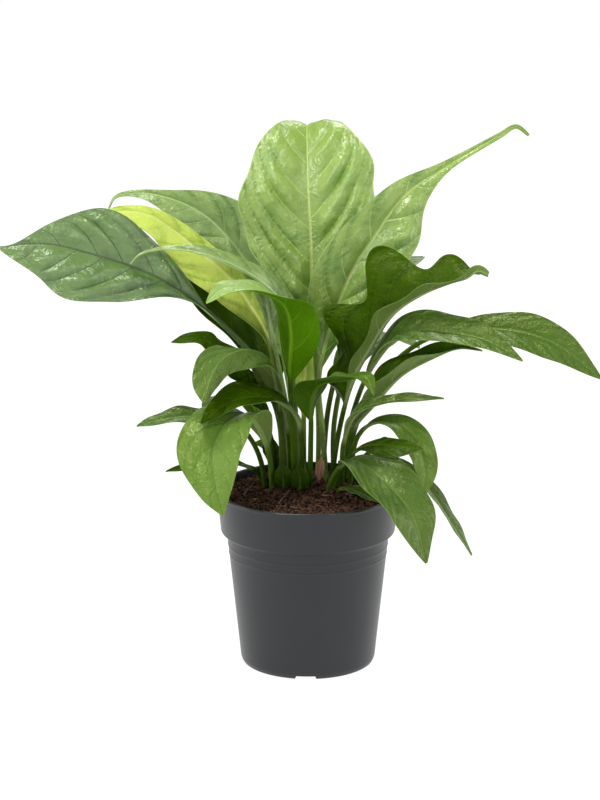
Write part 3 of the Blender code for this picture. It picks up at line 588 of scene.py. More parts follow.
def stalk_part(tree, place):
    """1 on the stalk, and 0 a little way up the blade."""
    return add(tree, "MapRange", {"Value": place["Y"], "From Min": 0.07, "From Max": 0.0}, "Result")


def living_flesh(shader, wax_tint):
    """Flesh that light passes a millimetre or two into, green light farthest, under tinted wax."""
    shader.inputs["Specular Tint"].default_value = linear(wax_tint)
    shader.inputs["Subsurface Weight"].default_value = 0.25
    shader.inputs["Subsurface Radius"].default_value = (0.6, 1.0, 0.2)
    shader.inputs["Subsurface Scale"].default_value = 0.002


def ladder_puckers(tree, place, apart):
    """Puckers like the rungs of a ladder, beside each side vein."""
    rung = add(tree, "UVMap", {}, "UV", uv_map="rungs")
    ladder = add(tree, "TexNoise", {"Vector": rung, "Scale": 1.0, "Detail": 2.0, "Roughness": 0.45}, "Fac")
    beside = add(
        tree, "MapRange", {"Value": apart, "From Min": 0.42, "From Max": 0.04}, "Result",
        interpolation_type="SMOOTHSTEP",
    )
    outwards = add(tree, "MapRange", {"Value": place["X"], "From Min": 0.1, "From Max": 0.5}, "Result")
    puckered = add(tree, "Math", {0: beside, 1: outwards}, 0, operation="MULTIPLY")
    return add(tree, "Math", {0: ladder, 1: puckered}, 0, operation="MULTIPLY")


def patches_and_painted_shade(tree, veins, place, drift):
    """Where the blade is darker: in its own patches, and in painted shade low on the blade and on the tipward
    side of each side vein.
    """
    # Painted shade: darker towards the blade's base
    painted_low_shade = add(tree, "Math", {0: place["Y"], 1: -0.32, 2: 0.12}, 0, operation="MULTIPLY_ADD")
    darker = add(tree, "Math", {0: drift, 1: painted_low_shade}, 0, operation="ADD")
    # Painted shade on the tipward side of each side vein, in the outer part of each half
    past = add(tree, "Math", {0: veins["X"]}, 0, operation="FRACT")
    tipward = add(
        tree, "MapRange", {"Value": past, "From Min": 0.42, "From Max": 0.02, "To Max": 0.17}, "Result",
        interpolation_type="SMOOTHSTEP",
    )
    outer = add(tree, "MapRange", {"Value": place["X"], "From Min": 0.15, "From Max": 0.6}, "Result")
    patches_and_shade = add(tree, "Math", {0: tipward, 1: outer, 2: darker}, 0, operation="MULTIPLY_ADD")
    return add(tree, "MapRange", {"Value": patches_and_shade, "From Min": 0.42, "From Max": 0.80}, "Result")


# patch_and_shade: the darker colour of the blade's own patches and of its painted shade
def leaf_upper(name, blade, patch_and_shade, vein, stalk, strength, pucker, shine):
    """Living leaf, upper face: waxy cuticle over a net of veins, which gives a soft broken gloss."""
    material, tree, shader = new_material(name)
    lay, veins, place = leaf_maps(tree)

    # Side veins, under 2 mm wide with their soft edges, that end before the margin
    apart, line = side_veins(tree, veins, place, (0.036, 0.012), 1.0)
    reach = add(
        tree, "MapRange", {"Value": place["X"], "From Min": 0.95, "From Max": 0.65}, "Result",
        interpolation_type="SMOOTHSTEP",
    )
    side_vein = add(tree, "Math", {0: line, 1: reach}, 0, operation="MULTIPLY")
    midrib = add(
        tree, "MapRange", {"Value": veins["Y"], "From Min": 1.15, "From Max": 0.7}, "Result",
        interpolation_type="SMOOTHSTEP",
    )

    # The net of small veins, and the finer net inside it
    net = add(
        tree, "TexVoronoi", {"Vector": lay, "Scale": NET_PER_MM}, "Distance", feature="DISTANCE_TO_EDGE",
    )
    net_line = add(tree, "MapRange", {"Value": net, "From Min": 0.08, "From Max": 0.0}, "Result")
    fine = add(
        tree, "TexVoronoi", {"Vector": lay, "Scale": FINE_NET_PER_MM}, "Distance",
        feature="DISTANCE_TO_EDGE",
    )

    # Colour: patches and painted shade, the net, the veins, a thin pale margin, and the stalk's own green
    drift = add(
        tree, "TexNoise", {"Vector": lay, "Scale": PATCHES_PER_MM, "Detail": 3.0, "Roughness": 0.5}, "Fac",
    )
    patchy_and_shaded = patches_and_painted_shade(tree, veins, place, drift)
    ground = add(
        tree, "Mix", {"Factor": patchy_and_shaded, 6: linear(blade), 7: linear(patch_and_shade)}, 2, data_type="RGBA",
    )
    faint = add(tree, "Math", {0: net_line, 1: 0.10}, 0, operation="MULTIPLY")
    netted = add(tree, "Mix", {"Factor": faint, 6: ground, 7: linear(vein)}, 2, data_type="RGBA")
    shown = add(tree, "Math", {0: side_vein, 1: strength}, 0, operation="MULTIPLY")
    rib = add(tree, "Math", {0: midrib, 1: 0.8}, 0, operation="MULTIPLY")
    edge = add(
        tree, "MapRange", {"Value": place["X"], "From Min": 0.975, "From Max": 1.0, "To Max": 0.5}, "Result",
    )
    main_vein = add(tree, "Math", {0: shown, 1: rib}, 0, operation="MAXIMUM")
    strong = add(tree, "Math", {0: main_vein, 1: edge}, 0, operation="MAXIMUM")
    veined = add(tree, "Mix", {"Factor": strong, 6: netted, 7: linear(vein)}, 2, data_type="RGBA")
    on_stalk = stalk_part(tree, place)
    whole = add(tree, "Mix", {"Factor": on_stalk, 6: veined, 7: linear(stalk)}, 2, data_type="RGBA")
    tree.links.new(whole, shader.inputs["Base Color"])

    # Gloss and relief
    gloss = add(
        tree, "MapRange",
        {"Value": drift, "From Min": 0.3, "From Max": 0.7, "To Min": 0.27, "To Max": 0.42}, "Result",
    )
    duller = add(tree, "Math", {0: on_stalk, 1: 0.3, 2: gloss}, 0, operation="MULTIPLY_ADD")
    tree.links.new(duller, shader.inputs["Roughness"])
    rungs = ladder_puckers(tree, place, apart)
    coarse = add(tree, "Bump", {"Height": rungs, "Strength": pucker, "Distance": 0.0055}, "Normal")
    grooved = add(tree, "Math", {0: side_vein, 1: -0.5, 2: net}, 0, operation="MULTIPLY_ADD")
    relief = add(tree, "Math", {0: fine, 1: 0.25, 2: grooved}, 0, operation="MULTIPLY_ADD")
    bump = add(
        tree, "Bump", {"Height": relief, "Strength": 0.6, "Distance": 0.0012, "Normal": coarse}, "Normal",
    )
    tree.links.new(bump, shader.inputs["Normal"])
    shader.inputs["IOR"].default_value = 1.5
    shader.inputs["Specular IOR Level"].default_value = shine
    living_flesh(shader, THICK_WAX_TINT if shine > THICK_WAX else THIN_WAX_TINT)
    return material


def leaf_under(name, ground, vein, stalk):
    """Living leaf, underside: paler and more matt, with the veins standing out."""
    material, tree, shader = new_material(name)
    lay, veins, place = leaf_maps(tree)
    side_vein = side_veins(tree, veins, place, (0.045, 0.015), 0.7)[1]
    midrib = add(
        tree, "MapRange", {"Value": veins["Y"], "From Min": 1.2, "From Max": 0.9, "To Max": 0.8}, "Result",
        interpolation_type="SMOOTHSTEP",
    )
    main_vein = add(tree, "Math", {0: side_vein, 1: midrib}, 0, operation="MAXIMUM")
    net = add(
        tree, "TexVoronoi", {"Vector": lay, "Scale": UNDER_NET_PER_MM}, "Distance",
        feature="DISTANCE_TO_EDGE",
    )
    net_line = add(
        tree, "MapRange", {"Value": net, "From Min": 0.10, "From Max": 0.0, "To Max": 0.25}, "Result",
    )
    shown = add(tree, "Math", {0: main_vein, 1: net_line}, 0, operation="MAXIMUM")
    veined = add(tree, "Mix", {"Factor": shown, 6: linear(ground), 7: linear(vein)}, 2, data_type="RGBA")
    on_stalk = stalk_part(tree, place)
    streak = add(tree, "TexNoise", {"Vector": lay, "Scale": STREAKS_PER_MM, "Detail": 3.0}, "Fac")
    drawn = add(
        tree, "MapRange",
        {"Value": streak, "From Min": 0.3, "From Max": 0.75, "To Min": 1.0, "To Max": 0.75}, "Result",
    )
    mottled = add(tree, "Mix", {"Factor": drawn, 6: linear(ground), 7: linear(stalk)}, 2, data_type="RGBA")
    whole = add(tree, "Mix", {"Factor": on_stalk, 6: veined, 7: mottled}, 2, data_type="RGBA")
    tree.links.new(whole, shader.inputs["Base Color"])
    bump = add(tree, "Bump", {"Height": shown, "Strength": 0.5, "Distance": 0.0003}, "Normal")
    tree.links.new(bump, shader.inputs["Normal"])
    shader.inputs["Roughness"].default_value = 0.46
    shader.inputs["Specular IOR Level"].default_value = 0.12
    living_flesh(shader, THIN_WAX_TINT)
    return material


# Leaf shape

def unit(rows):
    """The rows as vectors of length 1."""
    return rows / np.linalg.norm(rows, axis=1)[:, None]


def smooth(value, start, end):
    """A smooth step from 0 at start to 1 at end."""
    share = np.clip((value - start) / (end - start), 0, 1)
    return share * share * (3 - 2 * share)


def three_points(values, share):
    """A smooth run through three values, at the start, the middle and the end."""
    first, middle, last = values
    return (
        first * (1 - share) * (1 - 2 * share)
        + middle * 4 * share * (1 - share)
        + last * share * (2 * share - 1)
    )


def smooth_path(points):
    """A centripetal Catmull-Rom curve through the points, at even steps of length."""
    given = np.array(points, float)
    ends = np.vstack([2 * given[0] - given[1], given, 2 * given[-1] - given[-2]])
    gaps = np.sqrt(np.linalg.norm(np.diff(ends, axis=0), axis=1))
    knots = np.concatenate([[0.0], np.cumsum(gaps)])
    stretches = []
    for index in range(1, len(ends) - 2):
        k0, k1, k2, k3 = knots[index - 1:index + 3]
        p0, p1, p2, p3 = ends[index - 1:index + 3]
        k = np.linspace(k1, k2, STRETCH_STEPS, endpoint=False)[:, None]
        a1 = (k1 - k) / (k1 - k0) * p0 + (k - k0) / (k1 - k0) * p1
        a2 = (k2 - k) / (k2 - k1) * p1 + (k - k1) / (k2 - k1) * p2
        a3 = (k3 - k) / (k3 - k2) * p2 + (k - k2) / (k3 - k2) * p3
        b1 = (k2 - k) / (k2 - k0) * a1 + (k - k0) / (k2 - k0) * a2
        b2 = (k3 - k) / (k3 - k1) * a2 + (k - k1) / (k3 - k1) * a3
        stretches.append((k2 - k) / (k2 - k1) * b1 + (k - k1) / (k2 - k1) * b2)
    path = np.vstack(stretches + [given[-1:]])
    run = np.concatenate([[0.0], np.cumsum(np.linalg.norm(np.diff(path, axis=0), axis=1))])
    even = np.linspace(0.0, run[-1], PATH_STEPS)
    return np.stack([np.interp(even, run, path[:, axis]) for axis in range(3)], axis=1)


class Leaf:
    """The surface of one leaf. Along runs from the soil, 0, to the tip, 1; across from -1 to 1."""

    def __init__(self, shape, vein_count, puff, seed):
        self.shape = {**USUAL, **shape}
        self.vein_count = vein_count
        self.puff = puff
        self.seed = seed
        self.path = smooth_path(self.shape["spine"])
        self.length = np.linalg.norm(np.diff(self.path, axis=0), axis=1).sum()
        self.blade_length = self.length * (1 - self.shape["blade"])
        self.steps = np.linspace(0.0, 1.0, len(self.path))
        tangent = unit(np.gradient(self.path, axis=0))
        reach = self.path[-1] - self.path[0]
        heading = self.shape["heading"]
        angle = math.atan2(reach[1], reach[0]) if heading is None else math.radians(heading)
        level = np.array([math.sin(angle), -math.cos(angle), 0.0])
        side = unit(level - tangent * (tangent @ level)[:, None])
        face = np.cross(side, tangent)
        share = self.blade_share(self.steps)
        late = np.clip((share - TWIST_START) / (1 - TWIST_START), 0, 1)
        turn = three_points(self.shape["roll"], share) + self.shape["twist"] * late ** 2 * (3 - 2 * late)
        roll = np.radians(turn)[:, None]
        self.side = side * np.cos(roll) - face * np.sin(roll)
        self.face = face * np.cos(roll) + side * np.sin(roll)
        self.vein_places = [self.place_veins(0), self.place_veins(1)]

    def place_veins(self, right):
        """Where the side veins of one half leave the midrib, as shares of the blade: never quite even."""
        draw = random.Random(self.seed * 2 + right)
        gap = VEIN_SPREAD / self.vein_count
        first = FIRST_VEIN + (VEIN_LAG * gap if right else 0.0)
        uneven = [draw.uniform(-VEIN_UNEVENNESS, VEIN_UNEVENNESS) for index in range(self.vein_count)]
        return [first + gap * (index + shift) for index, shift in enumerate(uneven)]

    def blade_share(self, along):
        """The share of the blade's length, 0 all along the stalk."""
        start = self.shape["blade"]
        return np.clip((along - start) / (1 - start), 0.0, 1.0)

    def stalk_radius(self, along):
        """Of the stalk and, on the blade, of the midrib that it runs out in."""
        share = self.blade_share(along)
        return self.shape["stalk"] * (1 - STALK_TAPER * along) * (1 - RIB_TAPER * share)

    def half_width(self, along, right):
        """Of the left half, 0, or of the right one, 1, in millimetres."""
        share = self.blade_share(along)
        widest = self.shape["widest"][right]
        rising = np.sin(np.pi / 2 * np.clip(share / widest, 0, 1)) ** self.shape["base"][right]
        closing = np.clip((share - widest) / (1 - widest), 0, 1)
        falling = np.cos(np.pi / 2 * closing) ** self.shape["tip"][right]
        width = self.shape["half"][right] * np.where(share < widest, rising, falling)
        depth, count, phase = self.shape["notch"]
        width = width * (1 + depth * np.sin(2 * np.pi * (count * share + phase + WAVE_LAG * right)))
        tail = self.shape["tail"] * np.clip(share / TAIL_START, 0, 1) * (1 - share) ** TAIL_BLUNTNESS
        return np.maximum(np.hypot(width, tail), self.stalk_radius(along))

    def width_at(self, along, across):
        """The width of the half that each point is on."""
        return np.where(across > 0, self.half_width(along, 1), self.half_width(along, 0))

    def sided(self, key, share, across):
        """An angle that differs from base to tip and from the left half to the right one."""
        stations = self.shape[key]
        left = three_points([pair[0] for pair in stations], share)
        right = three_points([pair[1] for pair in stations], share)
        return np.radians(np.where(across > 0, right, left))

    def middle(self, along, across):
        """Points of the surface halfway through the blade's thickness."""
        def at(rows):
            return np.stack([np.interp(along, self.steps, rows[:, axis]) for axis in range(3)], axis=-1)

        share = self.blade_share(along)
        width = self.width_at(along, across)
        far = np.abs(across)
        opened = np.clip(share / BLADE_OPENING, 0, 1)
        lift = self.sided("lift", share, across) * opened
        curl = self.sided("curl", share, across) * opened
        bend = curl * far
        straight = np.abs(bend) < 1e-4
        divisor = np.where(straight, 1.0, curl)
        out = np.where(straight, far * np.cos(lift), (np.sin(lift + bend) - np.sin(lift)) / divisor)
        up = np.where(straight, far * np.sin(lift), (np.cos(lift) - np.cos(lift + bend)) / divisor)
        height, count, phase = self.shape["wave"]
        fullness = np.minimum(width / max(self.shape["half"]), 1) * opened
        turn = 2 * np.pi * (count * share + phase + np.where(across > 0, WAVE_LAG, 0.0))
        ripple = height * far ** 2 * np.sin(turn) * fullness
        sideways = np.sign(across) * width * out
        outwards = width * up + ripple
        return at(self.path) + at(self.side) * sideways[:, None] + at(self.face) * outwards[:, None]

    def veins_passed(self, along, across, right):
        """How many side veins lie between the blade's base and each point: whole numbers lie on one."""
        share = self.blade_share(along)
        far = np.abs(across)
        reach = far * self.width_at(along, across) / self.blade_length
        root = share - reach * (VEIN_SLANT + VEIN_BEND * far ** 2)
        places = self.vein_places[right]
        passed = np.interp(root, places, np.arange(len(places)))
        before = (root - places[0]) / (places[1] - places[0])
        after = len(places) - 1 + (root - places[-1]) / (places[-1] - places[-2])
        return np.where(root < places[0], before, np.where(root > places[-1], after, passed))

    def along_vein(self, along, across):
        """Millimetres along the side veins, roughly, for the puckers that cross them."""
        reach = np.abs(across) * self.width_at(along, across)
        return VEIN_RUN_ACROSS * reach + VEIN_RUN_ALONG * self.blade_share(along) * self.blade_length

    def relief(self, along, across):
        """How far the blade puffs up between its side veins and sinks along them."""
        share = self.blade_share(along)
        far = np.abs(across)
        width = self.width_at(along, across)
        passed = np.where(
            across > 0,
            self.veins_passed(along, across, 1),
            self.veins_passed(along, across, 0),
        )
        pillow = np.abs(np.sin(np.pi * passed))
        x = across * width
        y = share * self.blade_length

        # The swellings differ over 11 to 23 mm, and small creases over 3 to 8 mm
        sway = 1.7 * np.sin(y / 23 + self.seed)
        uneven = 0.6 + 0.4 * np.sin(x / 11 + sway) * np.sin(y / 17 + self.seed)
        waver = 2.2 * np.sin(y / 7.9 + self.seed)
        crumple = np.sin(x / 3.1 + waver) * np.sin(y / 4.3 + 1.3 * np.sin(x / 6.1))

        # Nothing swells at the midrib, the margin, the blade's base or its very tip
        body = smooth(far, 0.03, 0.3) * (1 - smooth(far, 0.55, 1.0)) * smooth(share, 0.02, 0.15)
        body *= 1 - 0.6 * smooth(share, 0.8, 1.0)
        fullness = np.minimum(width / max(self.shape["half"]), 1)
        gutter = np.exp(-(x / (1.6 * self.stalk_radius(along))) ** 2) * smooth(share, 0.03, 0.2)
        rungs = np.sin(self.along_vein(along, across) / RUNG_LENGTH + 1.9 * np.sin(passed * 4.1 + self.seed))
        ladder = 0.5 * rungs * (1 - pillow) * smooth(far, 0.15, 0.5)
        swell = pillow * uneven + CREASE_SHARE * crumple * pillow + RUNG_SHARE * ladder
        return self.puff * swell * body * fullness - GUTTER_DEPTH * gutter

    def skins(self, along, across):
        """Points on the upper and on the lower skin."""
        middle = self.middle(along, across)
        rightward = unit(self.middle(along, across + ACROSS_NUDGE) - middle)
        from_left = unit(middle - self.middle(along, across - ACROSS_NUDGE))
        tipward = self.middle(along + ALONG_NUDGE, across) - self.middle(along - ALONG_NUDGE, across)
        normal = unit(np.cross(rightward + from_left, tipward))
        middle = middle + normal * self.relief(along, across)[:, None]
        radius = self.stalk_radius(along)
        rib = radius * np.sqrt(np.clip(1 - (across * self.width_at(along, across) / radius) ** 2, 0, 1))
        share = self.blade_share(along)
        closed = 1 - np.clip(share / RIB_FADE, 0, 1)
        hollow = np.exp(-(across / CHANNEL_SPREAD) ** 2) * (1 - smooth(share, 0.0, CHANNEL_END))
        channel = CHANNEL_DEPTH * hollow
        upper = middle + normal * (BLADE_HALF_THICKNESS + rib * closed - channel)[:, None]
        lower = middle - normal * (BLADE_HALF_THICKNESS + rib)[:, None]
        return upper, lower


def leaf_places(leaf):
    """The columns and rows of a leaf's grid, by the size of its blade."""
    fineness = LARGE_FINENESS if max(leaf.shape["half"]) > LARGE_HALF else 1.0
    blade_rows = max(FEWEST_BLADE_ROWS, round(leaf.blade_length / ROW_LENGTH * fineness))
    stalk_rows = max(FEWEST_STALK_ROWS, round(leaf.length * leaf.shape["blade"] / STALK_ROW_LENGTH))
    columns = max(FEWEST_COLUMNS, 2 * round(max(leaf.shape["half"]) / COLUMN_WIDTH * fineness))
    return columns, stalk_rows, blade_rows


def shape_skins(bm, upper, lower):
    """Doubles the flat grid, bends it into the two skins, and returns each vertex's place in the grid."""
    upper_verts = bm.verts[:]
    grown = bmesh.ops.extrude_face_region(bm, geom=bm.faces[:], use_keep_orig=True)
    lower_verts = [item for item in grown["geom"] if isinstance(item, bmesh.types.BMVert)]
    index_at = {tuple(vert.co): index for index, vert in enumerate(upper_verts)}
    index_of = {vert: index for index, vert in enumerate(upper_verts)}
    for vert in lower_verts:
        index_of[vert] = index_at[tuple(vert.co)]
        vert.co = lower[index_of[vert]]
    for vert, point in zip(upper_verts, upper):
        vert.co = point
    bmesh.ops.recalc_face_normals(bm, faces=bm.faces[:])
    if bm.calc_volume(signed=True) < 0:
        bmesh.ops.reverse_faces(bm, faces=bm.faces[:])
    return index_of


def lay_maps(bm, upper_faces, index_of, leaf, along, across):
    """Gives each face the finish of its side, and each corner its place on the leaf's maps."""
    far = np.abs(across)
    x = across * leaf.width_at(along, across)
    lay = np.stack([x + LAY_SHIFT * leaf.seed, along * leaf.length], axis=1)
    ribs = np.abs(x) / leaf.stalk_radius(along)
    place = np.stack([far, leaf.blade_share(along)], axis=1)
    rungs = leaf.along_vein(along, across) * RUNG_RATE
    passed = [leaf.veins_passed(along, -far, 0), leaf.veins_passed(along, far, 1)]
    layers = [bm.loops.layers.uv.new(key) for key in LEAF_MAPS]
    for face in bm.faces:
        corners = [index_of[vert] for vert in face.verts]
        right = int(sum(across[index] for index in corners) > 0)
        face.material_index = 0 if face in upper_faces else 1
        for loop, index in zip(face.loops, corners):
            loop[layers[0]].uv = lay[index]
            loop[layers[1]].uv = (passed[right][index], ribs[index])
            loop[layers[2]].uv = place[index]
            loop[layers[3]].uv = (rungs[index], passed[right][index] * RUNG_STAGGER + leaf.seed)


def make_leaf(name, shape, look, seed):
    """A closed leaf: a fine grid bent into the blade and its stalk, with a map for each finish."""
    style, vein_count, puff = look
    leaf = Leaf(shape, vein_count, puff, seed)
    columns, stalk_rows, blade_rows = leaf_places(leaf)
    rows = stalk_rows + blade_rows
    bm = bmesh.new()
    bmesh.ops.create_grid(bm, x_segments=columns, y_segments=rows, size=1.0)
    upper_faces = set(bm.faces)
    flat = np.array([vert.co[:2] for vert in bm.verts])
    across = np.sign(flat[:, 0]) * np.abs(flat[:, 0]) ** MIDRIB_CROWDING
    row = (flat[:, 1] + 1) / 2 * rows
    along = np.interp(row, [0, stalk_rows, rows], [0.0, leaf.shape["blade"], TIP_END])
    upper, lower = leaf.skins(along, across)
    index_of = shape_skins(bm, upper, lower)
    lay_maps(bm, upper_faces, index_of, leaf, along, across)
    piece_name = name + "_blade_and_stalk" if name.startswith("leaf") else name + "_skin"
    add_object(piece_name, bm, LEAF_MATERIALS[style], name, STYLE_SLOTS[style], smooth_angle=60.0)


# Pot

def anthracite_plastic():
    """Injection-moulded polypropylene, mass-coloured anthracite: a satin skin with a faint orange peel."""
    material, tree, shader = new_material("moulded_polypropylene_anthracite")
    place = add(tree, "TexCoord", {}, "Object")
    peel = add(tree, "TexNoise", {"Vector": place, "Scale": PEEL_PER_METRE, "Detail": 2.0}, "Fac")
    cloud = add(
        tree, "TexNoise", {"Vector": place, "Scale": CLOUD_PER_METRE, "Detail": 5.0, "Roughness": 0.6}, "Fac",
    )
    colour = add(
        tree, "Mix", {"Factor": cloud, 6: linear("#17191B"), 7: linear("#1E2023")}, 2, data_type="RGBA",
    )
    tree.links.new(colour, shader.inputs["Base Color"])
    gloss = add(tree, "MapRange", {"Value": cloud, "To Min": 0.30, "To Max": 0.42}, "Result")
    tree.links.new(gloss, shader.inputs["Roughness"])
    bump = add(tree, "Bump", {"Height": peel, "Strength": 0.25, "Distance": 0.0002}, "Normal")
    tree.links.new(bump, shader.inputs["Normal"])
    shader.inputs["IOR"].default_value = 1.49
    return material


def rounded(profile):
    """The profile with every corner between its ends taken off in a small arc."""
    points = [np.array(point, float) for point in profile]
    arcs = [tuple(points[0])]
    for before, corner, after in zip(points, points[1:], points[2:]):
        reach = [np.linalg.norm(before - corner), np.linalg.norm(after - corner)]
        start = corner + (before - corner) * min(CORNER_CUT / reach[0], 0.4)
        end = corner + (after - corner) * min(CORNER_CUT / reach[1], 0.4)
        for share in (0.0, 0.5, 1.0):
            on_first = start + (corner - start) * share
            on_second = corner + (end - corner) * share
            arcs.append(tuple(on_first + (on_second - on_first) * share))
    return arcs + [tuple(points[-1])]


def turned(profile, sides):
    """A closed solid turned about Z from points (radius, height) that start and end on the axis."""
    bm = bmesh.new()
    verts = [bm.verts.new((radius, 0.0, height)) for radius, height in profile]
    edges = [bm.edges.new(pair) for pair in zip(verts, verts[1:])]
    bmesh.ops.spin(
        bm, geom=verts + edges, cent=(0, 0, 0), axis=(0, 0, 1), angle=2 * math.pi, steps=sides,
        use_merge=True,
    )
    bmesh.ops.remove_doubles(bm, verts=bm.verts[:], dist=0.01)
    bmesh.ops.recalc_face_normals(bm, faces=bm.faces[:])
    return bm


def body_radius(height):
    """The pot's tapered body, outside."""
    share = (height - BODY_FOOT_HEIGHT) / (STEP_HEIGHT - BODY_FOOT_HEIGHT)
    return BODY_FOOT_RADIUS + (BODY_TOP_RADIUS - BODY_FOOT_RADIUS) * share


def band_radius(height):
    """The wide band under the lip, outside."""
    share = (height - BAND_FOOT_HEIGHT) / (POT_HEIGHT - BAND_FOOT_HEIGHT)
    return (RIM_RADIUS - BAND_INSET) + BAND_FLARE * share


def pot_profile():
    """The pot's half section, (radius, height), up its outside and down its inside."""
    lip_foot = POT_HEIGHT - LIP_HEIGHT
    outer = [
        (0.0, 0.0),
        (PAD_RADIUS, 0.0),
        (PAD_RADIUS + 0.8, BASE_LIFT),
        (FOOT_RADIUS - FOOT_RING_WIDTH, BASE_LIFT),
        (FOOT_RADIUS - FOOT_RING_WIDTH + 0.6, 0.0),
        (FOOT_RADIUS, 0.0),
        (FOOT_RADIUS + 2.1, 1.4),
        (FOOT_RADIUS + 3.9, 6.0),
        (BODY_FOOT_RADIUS, BODY_FOOT_HEIGHT),
    ]
    for line in RING_LINES:
        outer += [
            (body_radius(line - RING_LINE_HALF), line - RING_LINE_HALF),
            (body_radius(line) + RING_LINE_RISE, line),
            (body_radius(line + RING_LINE_HALF), line + RING_LINE_HALF),
        ]
    outer += [
        (BODY_TOP_RADIUS, STEP_HEIGHT),
        (BODY_TOP_RADIUS + 1.2, STEP_HEIGHT + 1.6),
        (band_radius(BAND_FOOT_HEIGHT) - 1.8, STEP_HEIGHT + 2.2),
        (band_radius(BAND_FOOT_HEIGHT), BAND_FOOT_HEIGHT + 0.6),
        (band_radius(lip_foot), lip_foot),
        (RIM_RADIUS - 0.1, lip_foot + 0.7),
        (RIM_RADIUS, POT_HEIGHT - 1.0),
        (RIM_RADIUS - 0.9, POT_HEIGHT),
    ]
    inner = [
        (RIM_RADIUS - 2.6, POT_HEIGHT),
        (band_radius(lip_foot) - WALL, lip_foot - 1.0),
        (band_radius(BAND_FOOT_HEIGHT) - WALL, BAND_FOOT_HEIGHT + 2.0),
        (BODY_TOP_RADIUS - WALL, STEP_HEIGHT - 1.0),
        (BODY_FOOT_RADIUS - WALL, BODY_FOOT_HEIGHT),
        (FOOT_RADIUS - 0.4, BASE_LIFT + BASE_THICKNESS),
        (0.0, BASE_LIFT + BASE_THICKNESS),
    ]
    return outer + inner


def notch_cutter(bearing):
    """A wedge, wider at the foot than at its top, through the foot ring."""
    bm = bmesh.new()
    bmesh.ops.create_cube(bm, size=1.0)
    for vert in bm.verts:
        high = vert.co.z > 0
        width = NOTCH_WIDTH - (NOTCH_TAPER if high else 0.0)
        vert.co.x = math.copysign(NOTCH_REACH, vert.co.x) + FOOT_RADIUS - CUT_OVER
        vert.co.y = math.copysign(width / 2, vert.co.y)
        vert.co.z = NOTCH_HEIGHT if high else -CUT_OVER
    bmesh.ops.rotate(bm, verts=bm.verts[:], matrix=Matrix.Rotation(math.radians(bearing), 3, "Z"))
    return add_object("notch_cutter", bm, [])


def drain_cutter(index):
    """A rod through the raised floor."""
    angle = 2 * math.pi * (index + 0.5) / DRAIN_COUNT
    place = Vector((DRAIN_CIRCLE * math.cos(angle), DRAIN_CIRCLE * math.sin(angle), BASE_LIFT))
    bm = bmesh.new()
    bmesh.ops.create_cone(
        bm, cap_ends=True, segments=24, radius1=DRAIN_RADIUS, radius2=DRAIN_RADIUS, depth=20.0,
        matrix=Matrix.Translation(place),
    )
    return add_object("drain_cutter", bm, [])


def cut(piece, cutters):
    """Takes all the cutters from the piece in one Boolean, and removes them."""
    group = bpy.data.collections.new("cutters")
    for cutter in cutters:
        group.objects.link(cutter)
    modifier = piece.modifiers.new("cut", "BOOLEAN")
    modifier.operand_type = "COLLECTION"
    modifier.collection = group
    bpy.context.view_layer.update()
    whole = bpy.data.meshes.new_from_object(piece.evaluated_get(bpy.context.evaluated_depsgraph_get()))
    piece.modifiers.remove(modifier)
    piece.data = whole
    whole.set_sharp_from_angle(angle=math.radians(40.0))
    for cutter in cutters:
        bpy.data.objects.remove(cutter, do_unlink=True)
    bpy.data.collections.remove(group)


def make_pot():
    """The nursery pot, turned, with its foot notched and its floor drilled."""
    bm = turned(rounded(pot_profile()), POT_SIDES)
    pot = add_object("moulded_pot", bm, [anthracite_plastic()], "pot", "pot_plastic")
    cutters = [notch_cutter(bearing) for bearing in NOTCH_BEARINGS]
    cutters += [drain_cutter(index) for index in range(DRAIN_COUNT)]
    cut(pot, cutters)


# Soil

def damp_peat(name, dark, light):
    """Damp milled peat: crumbs from near black to rust brown, all but matt."""
    material, tree, shader = new_material(name)
    place = add(tree, "TexCoord", {}, "Object")
    crumb = add(tree, "NewGeometry", {}, "Random Per Island")
    grain = add(
        tree, "TexNoise", {"Vector": place, "Scale": GRAIN_PER_METRE, "Detail": 6.0, "Roughness": 0.7}, "Fac",
    )
    tone = add(tree, "Math", {0: crumb, 1: 0.6, 2: grain}, 0, operation="MULTIPLY_ADD")
    share = add(tree, "MapRange", {"Value": tone, "From Min": 0.55, "From Max": 1.15}, "Result")
    colour = add(
        tree, "Mix", {"Factor": share, 6: linear(dark), 7: linear(light)}, 2, data_type="RGBA",
    )
    tree.links.new(colour, shader.inputs["Base Color"])
    bump = add(tree, "Bump", {"Height": grain, "Strength": 0.7, "Distance": 0.001}, "Normal")
    tree.links.new(bump, shader.inputs["Normal"])
    shader.inputs["Roughness"].default_value = 0.9
    shader.inputs["Specular IOR Level"].default_value = 0.15
    return material


def soil_height(x, y):
    """The soil's uneven top, as its solid has it: a low mound at the crown, with lumps."""
    spread = math.hypot(x, y - SOIL_CROWN_Y)
    mound = SOIL_CROWN_RISE * math.exp(-((spread / SOIL_CROWN_SPREAD) ** 2))
    return SOIL_EDGE_HEIGHT + mound + SOIL_LUMP_RISE * math.sin(x / 6.5 + 0.6) * math.cos(y / 7.5)


def soil_roughness(x, y):
    """Clods and grit on top of that."""
    clods = noise.noise(Vector((x / CLOD_SIZE, y / CLOD_SIZE, 3.0)))
    grit = noise.noise(Vector((x / GRIT_SIZE, y / GRIT_SIZE, 7.0)))
    return CLOD_RISE * clods + GRIT_RISE * grit


def surface_point(x, y, lift):
    """A point that lies lift above the soil."""
    return Vector((x, y, soil_height(x, y) + soil_roughness(x, y) + lift))


